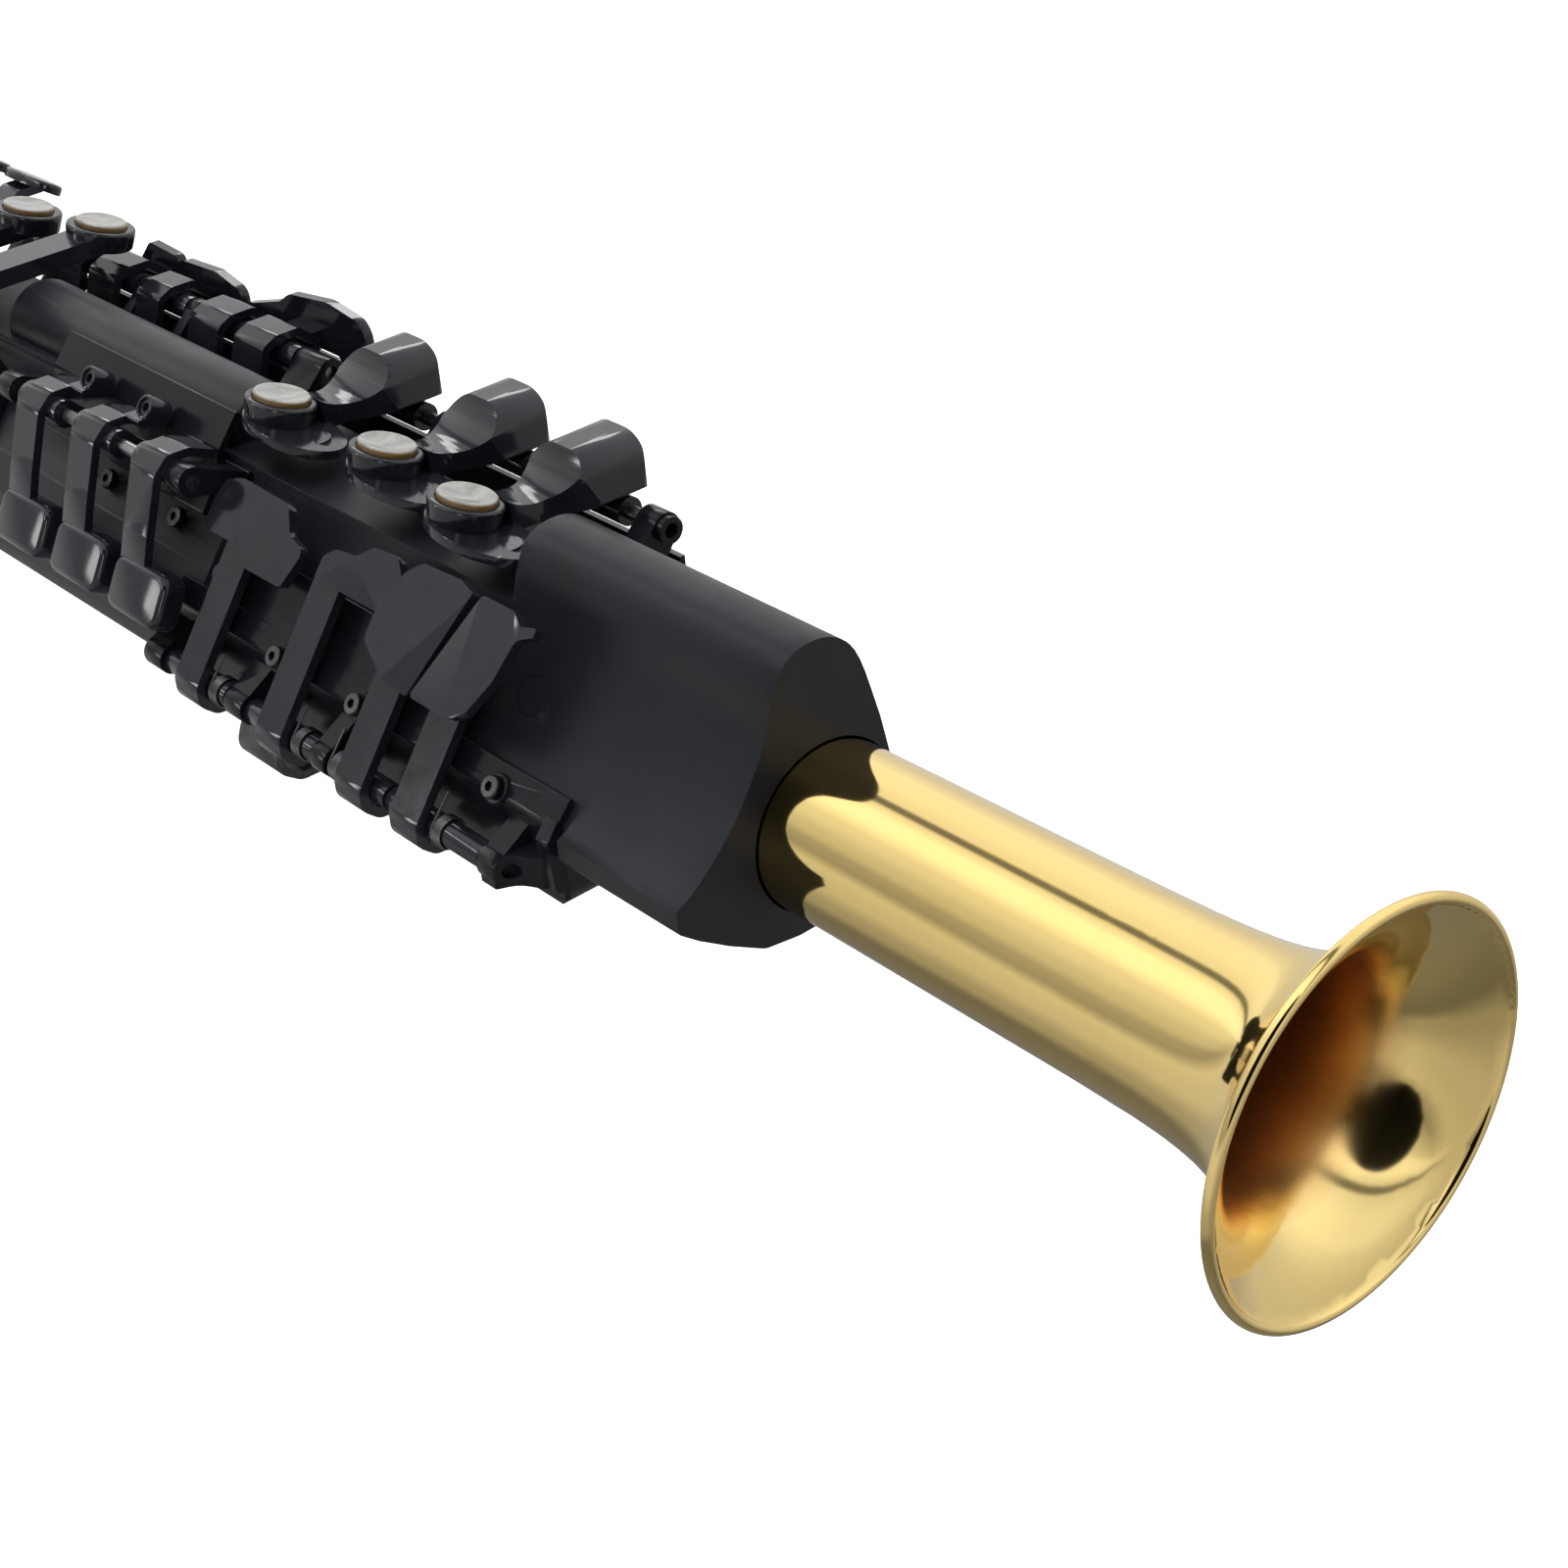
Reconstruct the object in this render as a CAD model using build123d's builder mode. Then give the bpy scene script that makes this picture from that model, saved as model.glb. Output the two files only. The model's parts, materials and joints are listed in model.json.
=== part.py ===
"""Straight electronic saxophone: a long key-covered plastic body with a flared brass bell.

Frame: origin at the centre of the bell mouth, +X out of the bell along the body, +Z towards the
front keys, +Y towards the player's left hand side. All sizes are in millimetres.
"""
from build123d import *
import math
import os

os.makedirs("parts", exist_ok=True)

# ---------------------------------------------------------------- driving dimensions
TOTAL_LENGTH = 699.0
BELL_RADIUS = 38.0          # outer radius of the bell rim
TUBE_RADIUS = 17.3          # outer radius of the bell tube where it enters the body
BRASS = 0.9                 # wall of the bell
BODY_LOW_END = -126.2       # face of the body that the bell comes out of
BODY_TOP_END = -585.0       # face of the body that the neck comes out of
WALL = 2.0                  # wall of the body shells
PARTING = -1.1              # height of the seam between front and rear shell
RECESS_END = -202.5         # where the crest steps down to the key recess
RECESS_FLOOR = 25.5
HOUSING_END = -167.0        # lower end of the deep rear housing
HOUSING_BOTTOM = -24.3
NEAR_WALL = -36.6           # tip of the wing on the lower block
KEY_SIDE_WALL = -33.5       # side wall behind the little finger keys
WING_END = -161.5           # where the wing stops
FAR_WALL = 30.0

ROD_RADIUS = 1.6
BORE_RADIUS = 1.65          # running fit of every key on its rod
FAR_ROD = (27.4, 25.6)      # y, z of the rod line on the left-hand side
SIDE_ROD = (-27.8, 27.3)
PINKY_ROD = (-41.0, -10.6)
UPPER_ROD = (-24.0, 27.5)

EAR_RADIUS = 3.5

CUP_RADIUS = 8.0
PEARL_RADIUS = 6.4
PEARL_TOP = 40.0
UPPER_PEARL_TOP = 43.5
CUP_LEAN = Vector(0.10, 0.26, 0.96)

FLANK_NORMAL = Vector(0, -0.8, 0.6)
FLANK_UP = Vector(0, 0.6, 0.8)

# ---------------------------------------------------------------- shape helpers


def slab(points, radii, start, end):
    """Outline in y, z with rounded corners, extruded along X."""
    with BuildPart() as piece:
        with BuildSketch(Plane.YZ.offset(start)):
            with BuildLine():
                FilletPolyline(*points, radius=radii, close=True)
            make_face()
        extrude(amount=end - start)
    return piece.part


def side_points(path, distance):
    """The path moved sideways by a distance, with mitred corners."""
    moved = []
    for index, (y, z) in enumerate(path):
        before = path[max(index - 1, 0)]
        after = path[min(index + 1, len(path) - 1)]
        normals = []
        for (y0, z0), (y1, z1) in ((before, (y, z)), ((y, z), after)):
            length = math.hypot(y1 - y0, z1 - z0)
            if length > 0:
                normals.append(Vector((z0 - z1) / length, (y1 - y0) / length, 0))
        mean = normals[0] + normals[-1]
        mean = mean * (2 / mean.dot(mean))
        moved.append((y + mean.X * distance, z + mean.Y * distance))
    return moved


def strap(path, thickness, bend, start, end):
    """Bent strip of even thickness that follows a y, z path, extruded along X."""
    outline = side_points(path, thickness / 2) + side_points(path, -thickness / 2)[::-1]
    tip = 0.3 * thickness
    left, right = [tip], [tip]
    for before, corner, after in zip(path, path[1:], path[2:]):
        turn = (corner[0] - before[0]) * (after[1] - corner[1])
        turn -= (corner[1] - before[1]) * (after[0] - corner[0])
        inner, outer = max(bend - thickness / 2, 0.2), bend + thickness / 2
        left.append(inner if turn > 0 else outer)
        right.append(outer if turn > 0 else inner)
    radii = left + [tip, tip] + right[:0:-1] + [tip]
    return slab(outline, radii, start, end)


def tube(rod, radius, start, end):
    """Cylinder along X, centred on a rod line."""
    with BuildPart() as piece:
        with BuildSketch(Plane.YZ.offset(start)):
            with Locations(rod):
                Circle(radius)
        extrude(amount=end - start)
    return piece.part


def ear(rod, feet, start, end):
    """Bearing ear: a ring round a rod line on a web that stands on two foot points."""
    y, z = rod
    middle_y = (feet[0][0] + feet[1][0]) / 2
    middle_z = (feet[0][1] + feet[1][1]) / 2
    reach = math.hypot(y - middle_y, z - middle_z)
    side_y = -(z - middle_z) / reach * EAR_RADIUS * 0.97
    side_z = (y - middle_y) / reach * EAR_RADIUS * 0.97
    corners = [(y + side_y, z + side_z), feet[0], feet[1], (y - side_y, z - side_z)]
    with BuildPart() as piece:
        add(slab(corners, 0, start, end))
        add(tube(rod, EAR_RADIUS, start, end))
    return piece.part


def turned(plane, points, radii):
    """Outline in radius, height spun about the plane's normal."""
    section = Plane(origin=plane.origin, x_dir=plane.x_dir, z_dir=-plane.y_dir)
    with BuildPart() as piece:
        with BuildSketch(section):
            with BuildLine():
                FilletPolyline(*points, radius=radii, close=True)
            make_face()
        revolve(axis=Axis(plane.origin, plane.z_dir))
    return piece.part


def plate(plane, points, radii, thickness):
    """Rounded outline on a plane, made thick along the plane's normal."""
    with BuildPart() as piece:
        with BuildSketch(plane):
            with BuildLine():
                FilletPolyline(*points, radius=radii, close=True)
            make_face()
        extrude(amount=thickness)
    return piece.part


def socket_screw(plane, radius, height):
    """Round-headed screw with a six-sided socket, its head standing on the plane."""
    with BuildPart() as screw:
        add(turned(plane, [(0, -3), (SCREW_SHANK, -3), (SCREW_SHANK, 0), (radius, 0), (radius, height),
                           (0, height)], [0, 0, 0, 0, radius * 0.2, 0]))
        with BuildSketch(plane.offset(height)):
            RegularPolygon(radius * 0.45, 6)
        extrude(amount=-height * 0.6, mode=Mode.SUBTRACT)
    return screw.part


def finish(piece, name):
    """Label a sub-part and write its STEP file."""
    piece.part.label = name
    export_step(piece.part, f"parts/{name}.step")


# ---------------------------------------------------------------- bell
FLARE_SCALE = 9.0


def flare(x):
    """Outer radius of the bell at a distance x from its mouth."""
    straight = TUBE_RADIUS + 0.9 * (x - BODY_LOW_END) / -BODY_LOW_END
    rim = BELL_RADIUS + 1.5
    return straight + (rim - straight) * math.exp(x / FLARE_SCALE)


BELL_INNER_END = -150.0
flare_stations = [-52, -40, -30, -22, -16, -11, -7, -4, -1.1]
outer_curve = [(x, flare(x)) for x in flare_stations]
inner_curve = side_points(outer_curve, -BRASS)
with BuildPart() as bell:
    with BuildSketch(Plane.XZ):
        with BuildLine():
            Line((BELL_INNER_END, TUBE_RADIUS), (BODY_LOW_END, TUBE_RADIUS))
            Line((BODY_LOW_END, TUBE_RADIUS), outer_curve[0])
            Spline(*outer_curve)
            Line(outer_curve[-1], inner_curve[-1])
            Spline(*inner_curve[::-1])
            Line(inner_curve[0], (BODY_LOW_END, TUBE_RADIUS - BRASS))
            Line((BODY_LOW_END, TUBE_RADIUS - BRASS), (BELL_INNER_END, TUBE_RADIUS - BRASS))
            Line((BELL_INNER_END, TUBE_RADIUS - BRASS), (BELL_INNER_END, TUBE_RADIUS))
        make_face()
        with Locations((-1.1, BELL_RADIUS - 1.1)):
            Circle(1.1)
    revolve(axis=Axis.X)
finish(bell, "bell")

# ---------------------------------------------------------------- body shells
NEAR_FLANK = [(-12.9, 24.1), (-16.0, 18.6), (-21.3, 11.1), (-26.4, 5.9), (-32.0, 1.4), (NEAR_WALL, PARTING)]
FLANK_TURN = (-0.41, -0.91)         # direction of the flank where it leaves the crest
TIP_TURN = (-0.9, -0.43)            # direction of the flank at the tip of the wing
CREST = [(19.9, PARTING), (16.4, 8.7), (15.1, 15.5), (13.3, 22.4), (11.2, 29.6), (8.2, 35.2), (3.4, 38.4),
         (-2.6, 38.9), (-6.4, 37.6), (-9.0, 34.4), (-10.9, 30.0), NEAR_FLANK[0]]
WIDE_FAR_FLANK = [(29.0, 3.0), (18.0, 12.0), (13.5, 20.0), (12.3, RECESS_FLOOR)]
crest_cavity = [(-31.2, -4), (17.8, -4), (17.4, 3), (14.0, 12), (11.0, 22), (8.6, 29.5), (4.6, 35.8),
                (-4.4, 36.2), (-8.2, 30), (-10.6, 23), (-14.0, 17.2), (-19.8, 9.2), (-25.3, 4.0),
                (-31.2, -1.6)]
low_recess_cavity = [(-31.2, -4), (17.4, -4), (17.2, 3), (14.0, 12), (11.4, 20), (10.4, 23.5),
                     (-10.2, 23.5), (-14.0, 17.2), (-19.8, 9.2), (-25.3, 4.0), (-31.2, -1.6)]
recess_cavity = [(-31.2, -4), (27.6, -4), (26.8, 2.2), (16.6, 10.6), (11.6, 19.4), (10.6, 23.5),
                 (-10.2, 23.5), (-14.0, 17.2), (-19.8, 9.2), (-25.3, 4.0), (-31.2, -1.6)]
wing_cut = [(-45, -30), (KEY_SIDE_WALL, -30), (KEY_SIDE_WALL, PARTING), (-26.3, 6.1), (-32, 12), (-45, 12)]
END_WALL = 4.0
STEP_WALL = 2.0

SCREW_SHANK = 1.2
BOSS_SPOTS = [(-260.4, -34.9, 0.75), (-230.5, -34.9, 0.75), (-183.0, -34.9, 0.75)]
FLANK_SCREW_SPOTS = [(-290.6, -28.05, 7.4), (-317.5, -22.8, 10.4), (-348.0, -22.8, 10.4)]
BASE_SCREWS = [Plane(origin=spot, x_dir=(1, 0, 0), z_dir=FLANK_NORMAL)
               for spot in BOSS_SPOTS + FLANK_SCREW_SPOTS]
PORT = Plane(origin=(-188.0, -20.4, 12.9), x_dir=(1, 0, 0), z_dir=FLANK_NORMAL)


def screw_holes():
    """Clearance holes for the shanks of the screws that hold the key bases."""
    with BuildPart() as holes:
        for plane in BASE_SCREWS:
            add(turned(plane, [(0, -4), (SCREW_SHANK + 0.05, -4), (SCREW_SHANK + 0.05, 1), (0, 1)], 0))
    return holes.part


with BuildPart() as front_shell:
    with BuildSketch(Plane.YZ.offset(RECESS_END)):
        with BuildLine():
            Spline(*CREST, tangents=[(-0.5, 0.87), FLANK_TURN])
            Spline(*NEAR_FLANK, tangents=[FLANK_TURN, TIP_TURN])
            Line(NEAR_FLANK[-1], CREST[0])
        make_face()
    extrude(amount=BODY_LOW_END - RECESS_END)
    with BuildSketch(Plane.YZ.offset(BODY_TOP_END)):
        with BuildLine():
            Polyline(NEAR_FLANK[-1], (FAR_WALL, PARTING), *WIDE_FAR_FLANK, (-12.2, RECESS_FLOOR),
                     NEAR_FLANK[0])
            Spline(*NEAR_FLANK, tangents=[FLANK_TURN, TIP_TURN])
        make_face()
    extrude(amount=RECESS_END - BODY_TOP_END)
    add(slab(crest_cavity, 1, RECESS_END + STEP_WALL, BODY_LOW_END - END_WALL), mode=Mode.SUBTRACT)
    add(slab(low_recess_cavity, 1, RECESS_END - STEP_WALL, RECESS_END + STEP_WALL), mode=Mode.SUBTRACT)
    add(slab(recess_cavity, 1, BODY_TOP_END + END_WALL, RECESS_END - STEP_WALL), mode=Mode.SUBTRACT)
    add(slab(wing_cut, 0, BODY_TOP_END - 1, WING_END), mode=Mode.SUBTRACT)
    add(tube((0, 0), TUBE_RADIUS + 0.4, BODY_LOW_END - 6, BODY_LOW_END + 1), mode=Mode.SUBTRACT)
    add(tube((0, 6), 10.05, BODY_TOP_END - 1, BODY_TOP_END + 6), mode=Mode.SUBTRACT)
    add(screw_holes(), mode=Mode.SUBTRACT)
    add(turned(PORT, [(0, -0.5), (4.3, -0.5), (4.3, 4), (0, 4)], 0), mode=Mode.SUBTRACT)
finish(front_shell, "front_shell")

low_rear_outline = [(NEAR_WALL, PARTING), (-36.8, -5.8), (-32.3, -9.5), (-25.5, -14.2), (-17.3, -19.1),
                    (-9.0, -20.4), (8.0, -20.4), (19.9, -8.0), (19.9, PARTING)]
low_rear_radii = [0, 1.6, 3, 5, 5, 8, 8, 8, 0]
low_rear_cavity = [(-31.2, 2), (-31.2, -7.7), (-24.4, -12.5), (-16.8, -17.1),
                   (-8.6, -18.4), (7.2, -18.4), (17.8, -7.2), (17.8, 2)]
housing_outline = [(KEY_SIDE_WALL, PARTING), (KEY_SIDE_WALL, HOUSING_BOTTOM), (FAR_WALL, HOUSING_BOTTOM),
                   (FAR_WALL, PARTING)]
housing_cavity = [(-31.5, 2), (-31.5, HOUSING_BOTTOM + WALL), (27.8, HOUSING_BOTTOM + WALL), (27.8, 2)]
BATTERY_DOOR = (-425.0, -309.0, -24.0, 14.0)     # x from, x to, y from, y to
door_middle = ((BATTERY_DOOR[0] + BATTERY_DOOR[1]) / 2, (BATTERY_DOOR[2] + BATTERY_DOOR[3]) / 2)
door_size = (BATTERY_DOOR[1] - BATTERY_DOOR[0], BATTERY_DOOR[3] - BATTERY_DOOR[2])
JACK_SPOTS = [(-190.0, -8.0), (-204.0, -8.0), (-218.0, -8.0)]
JACK_BODY = 4.0
BUTTON_SPOTS = {"power_button": (-556.0, 0.0), "volume_up_button": (-476.0, 8.0),
                "volume_down_button": (-476.0, -8.0)}
BUTTON_RADIUS = 4.0
OCTAVE_PIVOT = (-530.0, -30.0)      # x, z of the octave key's cross rod
LEVER_PIVOT = (-262.0, -29.0)       # x, z of the analog lever's pin
PIN_BORE = 1.05
LUG_RADIUS = 3.4
SHELL_SCREW_SPOTS = [(-182, 22), (-296, 22), (-430, 22), (-574, 22),
                     (-182, -26), (-296, -26), (-430, -27), (-574, -26)]

with BuildPart() as housing:
    add(slab(housing_outline, [0, 7, 7, 0], BODY_TOP_END, HOUSING_END))
    with BuildSketch(Plane.XZ.offset(-50)):
        with BuildLine():
            FilletPolyline((BODY_TOP_END, PARTING), (BODY_TOP_END, HOUSING_BOTTOM),
                           (HOUSING_END, HOUSING_BOTTOM), (HOUSING_END, PARTING),
                           radius=[0, 4, 9, 0], close=True)
        make_face()
    extrude(amount=100, mode=Mode.INTERSECT)

with BuildPart() as rear_shell:
    add(slab(low_rear_outline, low_rear_radii, HOUSING_END, BODY_LOW_END))
    add(housing.part)
    add(slab(low_rear_cavity, [0, 1, 1, 1, 1, 1, 1, 0], HOUSING_END - 7, BODY_LOW_END - END_WALL),
        mode=Mode.SUBTRACT)
    add(slab(housing_cavity, [0, 5, 5, 0], BODY_TOP_END + END_WALL, HOUSING_END - 6), mode=Mode.SUBTRACT)
    add(slab(wing_cut, 0, BODY_TOP_END - 1, WING_END), mode=Mode.SUBTRACT)
    add(tube((0, 0), TUBE_RADIUS + 0.4, BODY_LOW_END - 6, BODY_LOW_END + 1), mode=Mode.SUBTRACT)
    add(tube((0, 6), 10.05, BODY_TOP_END - 1, BODY_TOP_END + 6), mode=Mode.SUBTRACT)
    add(screw_holes(), mode=Mode.SUBTRACT)
    with BuildSketch(Plane.XY.offset(HOUSING_BOTTOM - 1)):
        with Locations(door_middle):
            RectangleRounded(*door_size, 4)
        with Locations(*JACK_SPOTS):
            Circle(JACK_BODY + 0.05)
        with Locations(*BUTTON_SPOTS.values()):
            Circle(BUTTON_RADIUS + 0.3)
        with Locations(*SHELL_SCREW_SPOTS):
            Circle(1.55)
    extrude(amount=WALL + 1.5, mode=Mode.SUBTRACT)
finish(rear_shell, "rear_shell")

SPINE_RADIUS = 10.4
SPINE_RANGE = (-413.5, -309.5)
with BuildPart() as spine_cover:
    with BuildSketch(Plane.YZ.offset(SPINE_RANGE[0])):
        with Locations((0, RECESS_FLOOR)):
            Circle(SPINE_RADIUS)
        with Locations((0, RECESS_FLOOR - SPINE_RADIUS)):
            Rectangle(3 * SPINE_RADIUS, 2 * SPINE_RADIUS, mode=Mode.SUBTRACT)
    extrude(amount=SPINE_RANGE[1] - SPINE_RANGE[0])
    fillet(faces().sort_by(Axis.X)[-1].edges().filter_by(GeomType.CIRCLE), 1.2)
finish(spine_cover, "spine_cover")

# ---------------------------------------------------------------- pieces fixed to the body
with BuildPart() as bell_bulkhead:
    add(slab([(-26.4, -5), (17.0, -5), (17.0, 4), (8.6, 23.6), (-7.6, 23.6), (-17.2, 9)],
             2, BELL_INNER_END - 4, BELL_INNER_END))
    add(tube((0, 0), 13, BELL_INNER_END - 5, BELL_INNER_END + 1), mode=Mode.SUBTRACT)
finish(bell_bulkhead, "bell_bulkhead")

speaker_plane = Plane(origin=(BELL_INNER_END - 4, 0, 0), x_dir=(0, 1, 0), z_dir=(-1, 0, 0))
with BuildPart() as speaker:
    add(turned(speaker_plane, [(0, 8), (9, 1.2), (13.4, 1.2), (13.4, 0), (16, 0), (16, 2), (10, 12),
                               (10, 19), (0, 19)], 0))
finish(speaker, "speaker")

GUARD_RANGE = (-380.0, -306.0)
SIDE_EARS = [(-380.0, -374.0), (-302.8, -297.4)]
with BuildPart() as side_key_guard:
    add(strap([(-9.2, 34.6), (-15.2, 27.6), (-17.0, 21.5), (-22.2, 14.6)], 1.6, 1.5, *GUARD_RANGE))
    for start, end in SIDE_EARS:
        add(ear(SIDE_ROD, [(-15.4, 21.0), (-13.0, 24.2)], start, end))
    add(strap([(-13.7, 24.6), (-20.2, 15.9)], 1.4, 1, -306.5, -297))
    add(tube(SIDE_ROD, BORE_RADIUS, -400, -280), mode=Mode.SUBTRACT)
    add(screw_holes(), mode=Mode.SUBTRACT)
    split(bisect_by=Plane(origin=FLANK_NORMAL * 24.9, x_dir=(1, 0, 0), z_dir=FLANK_NORMAL), keep=Keep.TOP)
finish(side_key_guard, "side_key_guard")

PINKY_EARS = [(-304, -297), (-270.5, -264), (-237, -232), (-178.5, -173)]
with BuildPart() as pinky_key_base:
    add(strap([(-30.2, 3.8), (-34.25, -0.6), (-34.25, -17.0)], 1.4, 0.8, -304, -164))
    add(strap([(-22.4, 13.7), (-28.6, 5.4), (-31.5, 2.3)], 1.4, 0.8, -296.5, -200))
    for start, end in PINKY_EARS:
        add(ear(PINKY_ROD, [(-34.5, -15.5), (-34.5, -3.0)], start, end))
    for spot in BOSS_SPOTS:
        boss = Plane(origin=spot, x_dir=(1, 0, 0), z_dir=FLANK_NORMAL)
        add(turned(boss, [(0, -1.2), (3.2, -1.2), (3.2, 0), (0, 0)], [0, 0, 0.4, 0]))
    add(slab([(-33.8, -15.6), (-36.8, -14.0), (-37.4, -3.0), (-34.2, 1.0)], [0, 1, 1.5, 0], -167.6, -164))
    with BuildSketch(Plane.XY.offset(-14.0)):
        with BuildLine():
            FilletPolyline((-182, -34), (-165, -34), (-166.5, -37.4), (-171.5, -40), (-173.5, -44.0),
                           (-178.5, -44.0), (-178.8, -38), radius=[0, 0, 1, 6, 0.5, 0.5, 3], close=True)
        make_face()
    extrude(amount=6.8)
    add(tube(PINKY_ROD, BORE_RADIUS, -310, -160), mode=Mode.SUBTRACT)
    add(screw_holes(), mode=Mode.SUBTRACT)
finish(pinky_key_base, "pinky_key_base")

FAR_EARS = [(-209.0, -203.0), (-243.0, -237.0), (-281.0, -275.0), (-320.0, -312.0), (-338.0, -327.0),
            (-387.0, -383.6), (-411.0, -407.6), (-452.0, -446.6)]
FAR_FEET = [(15.6, 19.2), (21.0, 11.4)]
with BuildPart() as far_key_base:
    add(strap([(14.9, 20.6), (19.0, 12.9), (29.4, 4.4)], 1.4, 0.8, -452, -203))
    add(slab([(28.6, 4.2), (30.2, 3.4), (31.3, 3.6), (31.3, 18.0), (30.0, 18.0)], 0, -452, -203))
    for start, end in FAR_EARS:
        add(ear(FAR_ROD, FAR_FEET, start, end))
    add(tube(FAR_ROD, 3.0, FAR_EARS[0][1], FAR_EARS[0][1] + 1.6))
    add(tube(FAR_ROD, BORE_RADIUS, -455, -190), mode=Mode.SUBTRACT)
finish(far_key_base, "far_key_base")

UPPER_EARS = [(-408.0, -403.0), (-462.0, -458.0), (-514.0, -509.0)]
with BuildPart() as upper_key_base:
    add(strap([(-16.8, 19.5), (-22.3, 11.6), (-27.2, 7.05)], 1.4, 0.8, -514, -403))
    for start, end in UPPER_EARS:
        add(ear(UPPER_ROD, [(-22.2, 11.6), (-16.8, 18.8)], start, end))
    add(tube(UPPER_ROD, BORE_RADIUS, -520, -400), mode=Mode.SUBTRACT)
finish(upper_key_base, "upper_key_base")

PALM_EARS = [(-474.0, -469.0), (-560.0, -555.0)]
with BuildPart() as palm_key_base:
    add(strap([(14.9, 20.6), (19.0, 12.9), (26.0, 7.2)], 1.4, 0.8, -560, -469))
    for start, end in PALM_EARS:
        add(ear(FAR_ROD, FAR_FEET, start, end))
    add(tube(FAR_ROD, BORE_RADIUS, -570, -460), mode=Mode.SUBTRACT)
finish(palm_key_base, "palm_key_base")

ROD_SPANS = [(FAR_ROD, -318.5, -204.5), (FAR_ROD, -450.5, -328.5), (FAR_ROD, -558.5, -470.5),
             (SIDE_ROD, -378.5, -298.4), (PINKY_ROD, -302.5, -174.3), (UPPER_ROD, -512.5, -404.5)]
with BuildPart() as hinge_rods:
    for rod, start, end in ROD_SPANS:
        add(tube(rod, ROD_RADIUS, start, end))
    with BuildSketch(Plane.XZ.offset(-8.3)):
        with Locations(OCTAVE_PIVOT):
            Circle(ROD_RADIUS)
    extrude(amount=16.6)
    with BuildSketch(Plane.XZ.offset(-6.4)):
        with Locations(LEVER_PIVOT):
            Circle(PIN_BORE - 0.05)
    extrude(amount=12.8)
finish(hinge_rods, "hinge_rods")

with BuildPart() as base_screws:
    for plane in BASE_SCREWS:
        add(socket_screw(plane, 2.4, 1.8))
finish(base_screws, "base_screws")

with BuildPart() as shell_screws:
    for x, y in SHELL_SCREW_SPOTS:
        add(turned(Plane(origin=(x, y, HOUSING_BOTTOM + 0.6), x_dir=(1, 0, 0), z_dir=(0, 0, 1)),
                   [(0, 0), (1.5, 0), (1.5, 10), (0, 10)], 0))
finish(shell_screws, "shell_screws")

# ---------------------------------------------------------------- neck and mouthpiece
NECK_BEND = 17.0
NECK_ARC = 60.0
NECK_START = (-575.0, 6.0)
NECK_STRAIGHT_END = -590.0
MOUTHPIECE_LENGTH = 74.0
CORK_LENGTH = 20.0
TIP_DROP = 5.2              # depth of the mouthpiece tip below its own axis
bend = math.radians(NECK_BEND)
arc_end = (NECK_STRAIGHT_END - NECK_ARC * math.sin(bend), NECK_START[1] - NECK_ARC * (1 - math.cos(bend)))
tip_reach = MOUTHPIECE_LENGTH - CORK_LENGTH
neck_run = (arc_end[0] + TOTAL_LENGTH + TIP_DROP * math.sin(bend)) / math.cos(bend) - tip_reach
neck_end = (arc_end[0] - neck_run * math.cos(bend), arc_end[1] - neck_run * math.sin(bend))
neck_plane = Plane(origin=(neck_end[0], 0, neck_end[1]), x_dir=(0, 1, 0),
                   z_dir=(-math.cos(bend), 0, -math.sin(bend)))

with BuildPart() as neck:
    with BuildLine(Plane.XZ):
        Line(NECK_START, (NECK_STRAIGHT_END, NECK_START[1]))
        TangentArc((NECK_STRAIGHT_END, NECK_START[1]), arc_end, tangent=(-1, 0))
        Line(arc_end, neck_end)
    with BuildSketch(Plane(origin=(NECK_START[0], 0, NECK_START[1]), x_dir=(0, 1, 0), z_dir=(-1, 0, 0))):
        Circle(10.0)
        Circle(6.0, mode=Mode.SUBTRACT)
    sweep()
    add(turned(neck_plane, [(5.9, -CORK_LENGTH - 2), (10.6, -CORK_LENGTH - 2), (10.6, -CORK_LENGTH),
                            (5.9, -CORK_LENGTH)], 0))
    add(turned(neck_plane, [(7.0, -CORK_LENGTH), (11, -CORK_LENGTH), (11, 1), (7.0, 1)], 0),
        mode=Mode.SUBTRACT)
finish(neck, "neck")

with BuildPart() as neck_cork:
    add(turned(neck_plane, [(7.05, -CORK_LENGTH + 0.1), (8.6, -CORK_LENGTH + 0.1), (8.6, -0.4),
                            (7.05, -0.4)],
               [0, 0.3, 0.3, 0]))
finish(neck_cork, "neck_cork")

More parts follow.
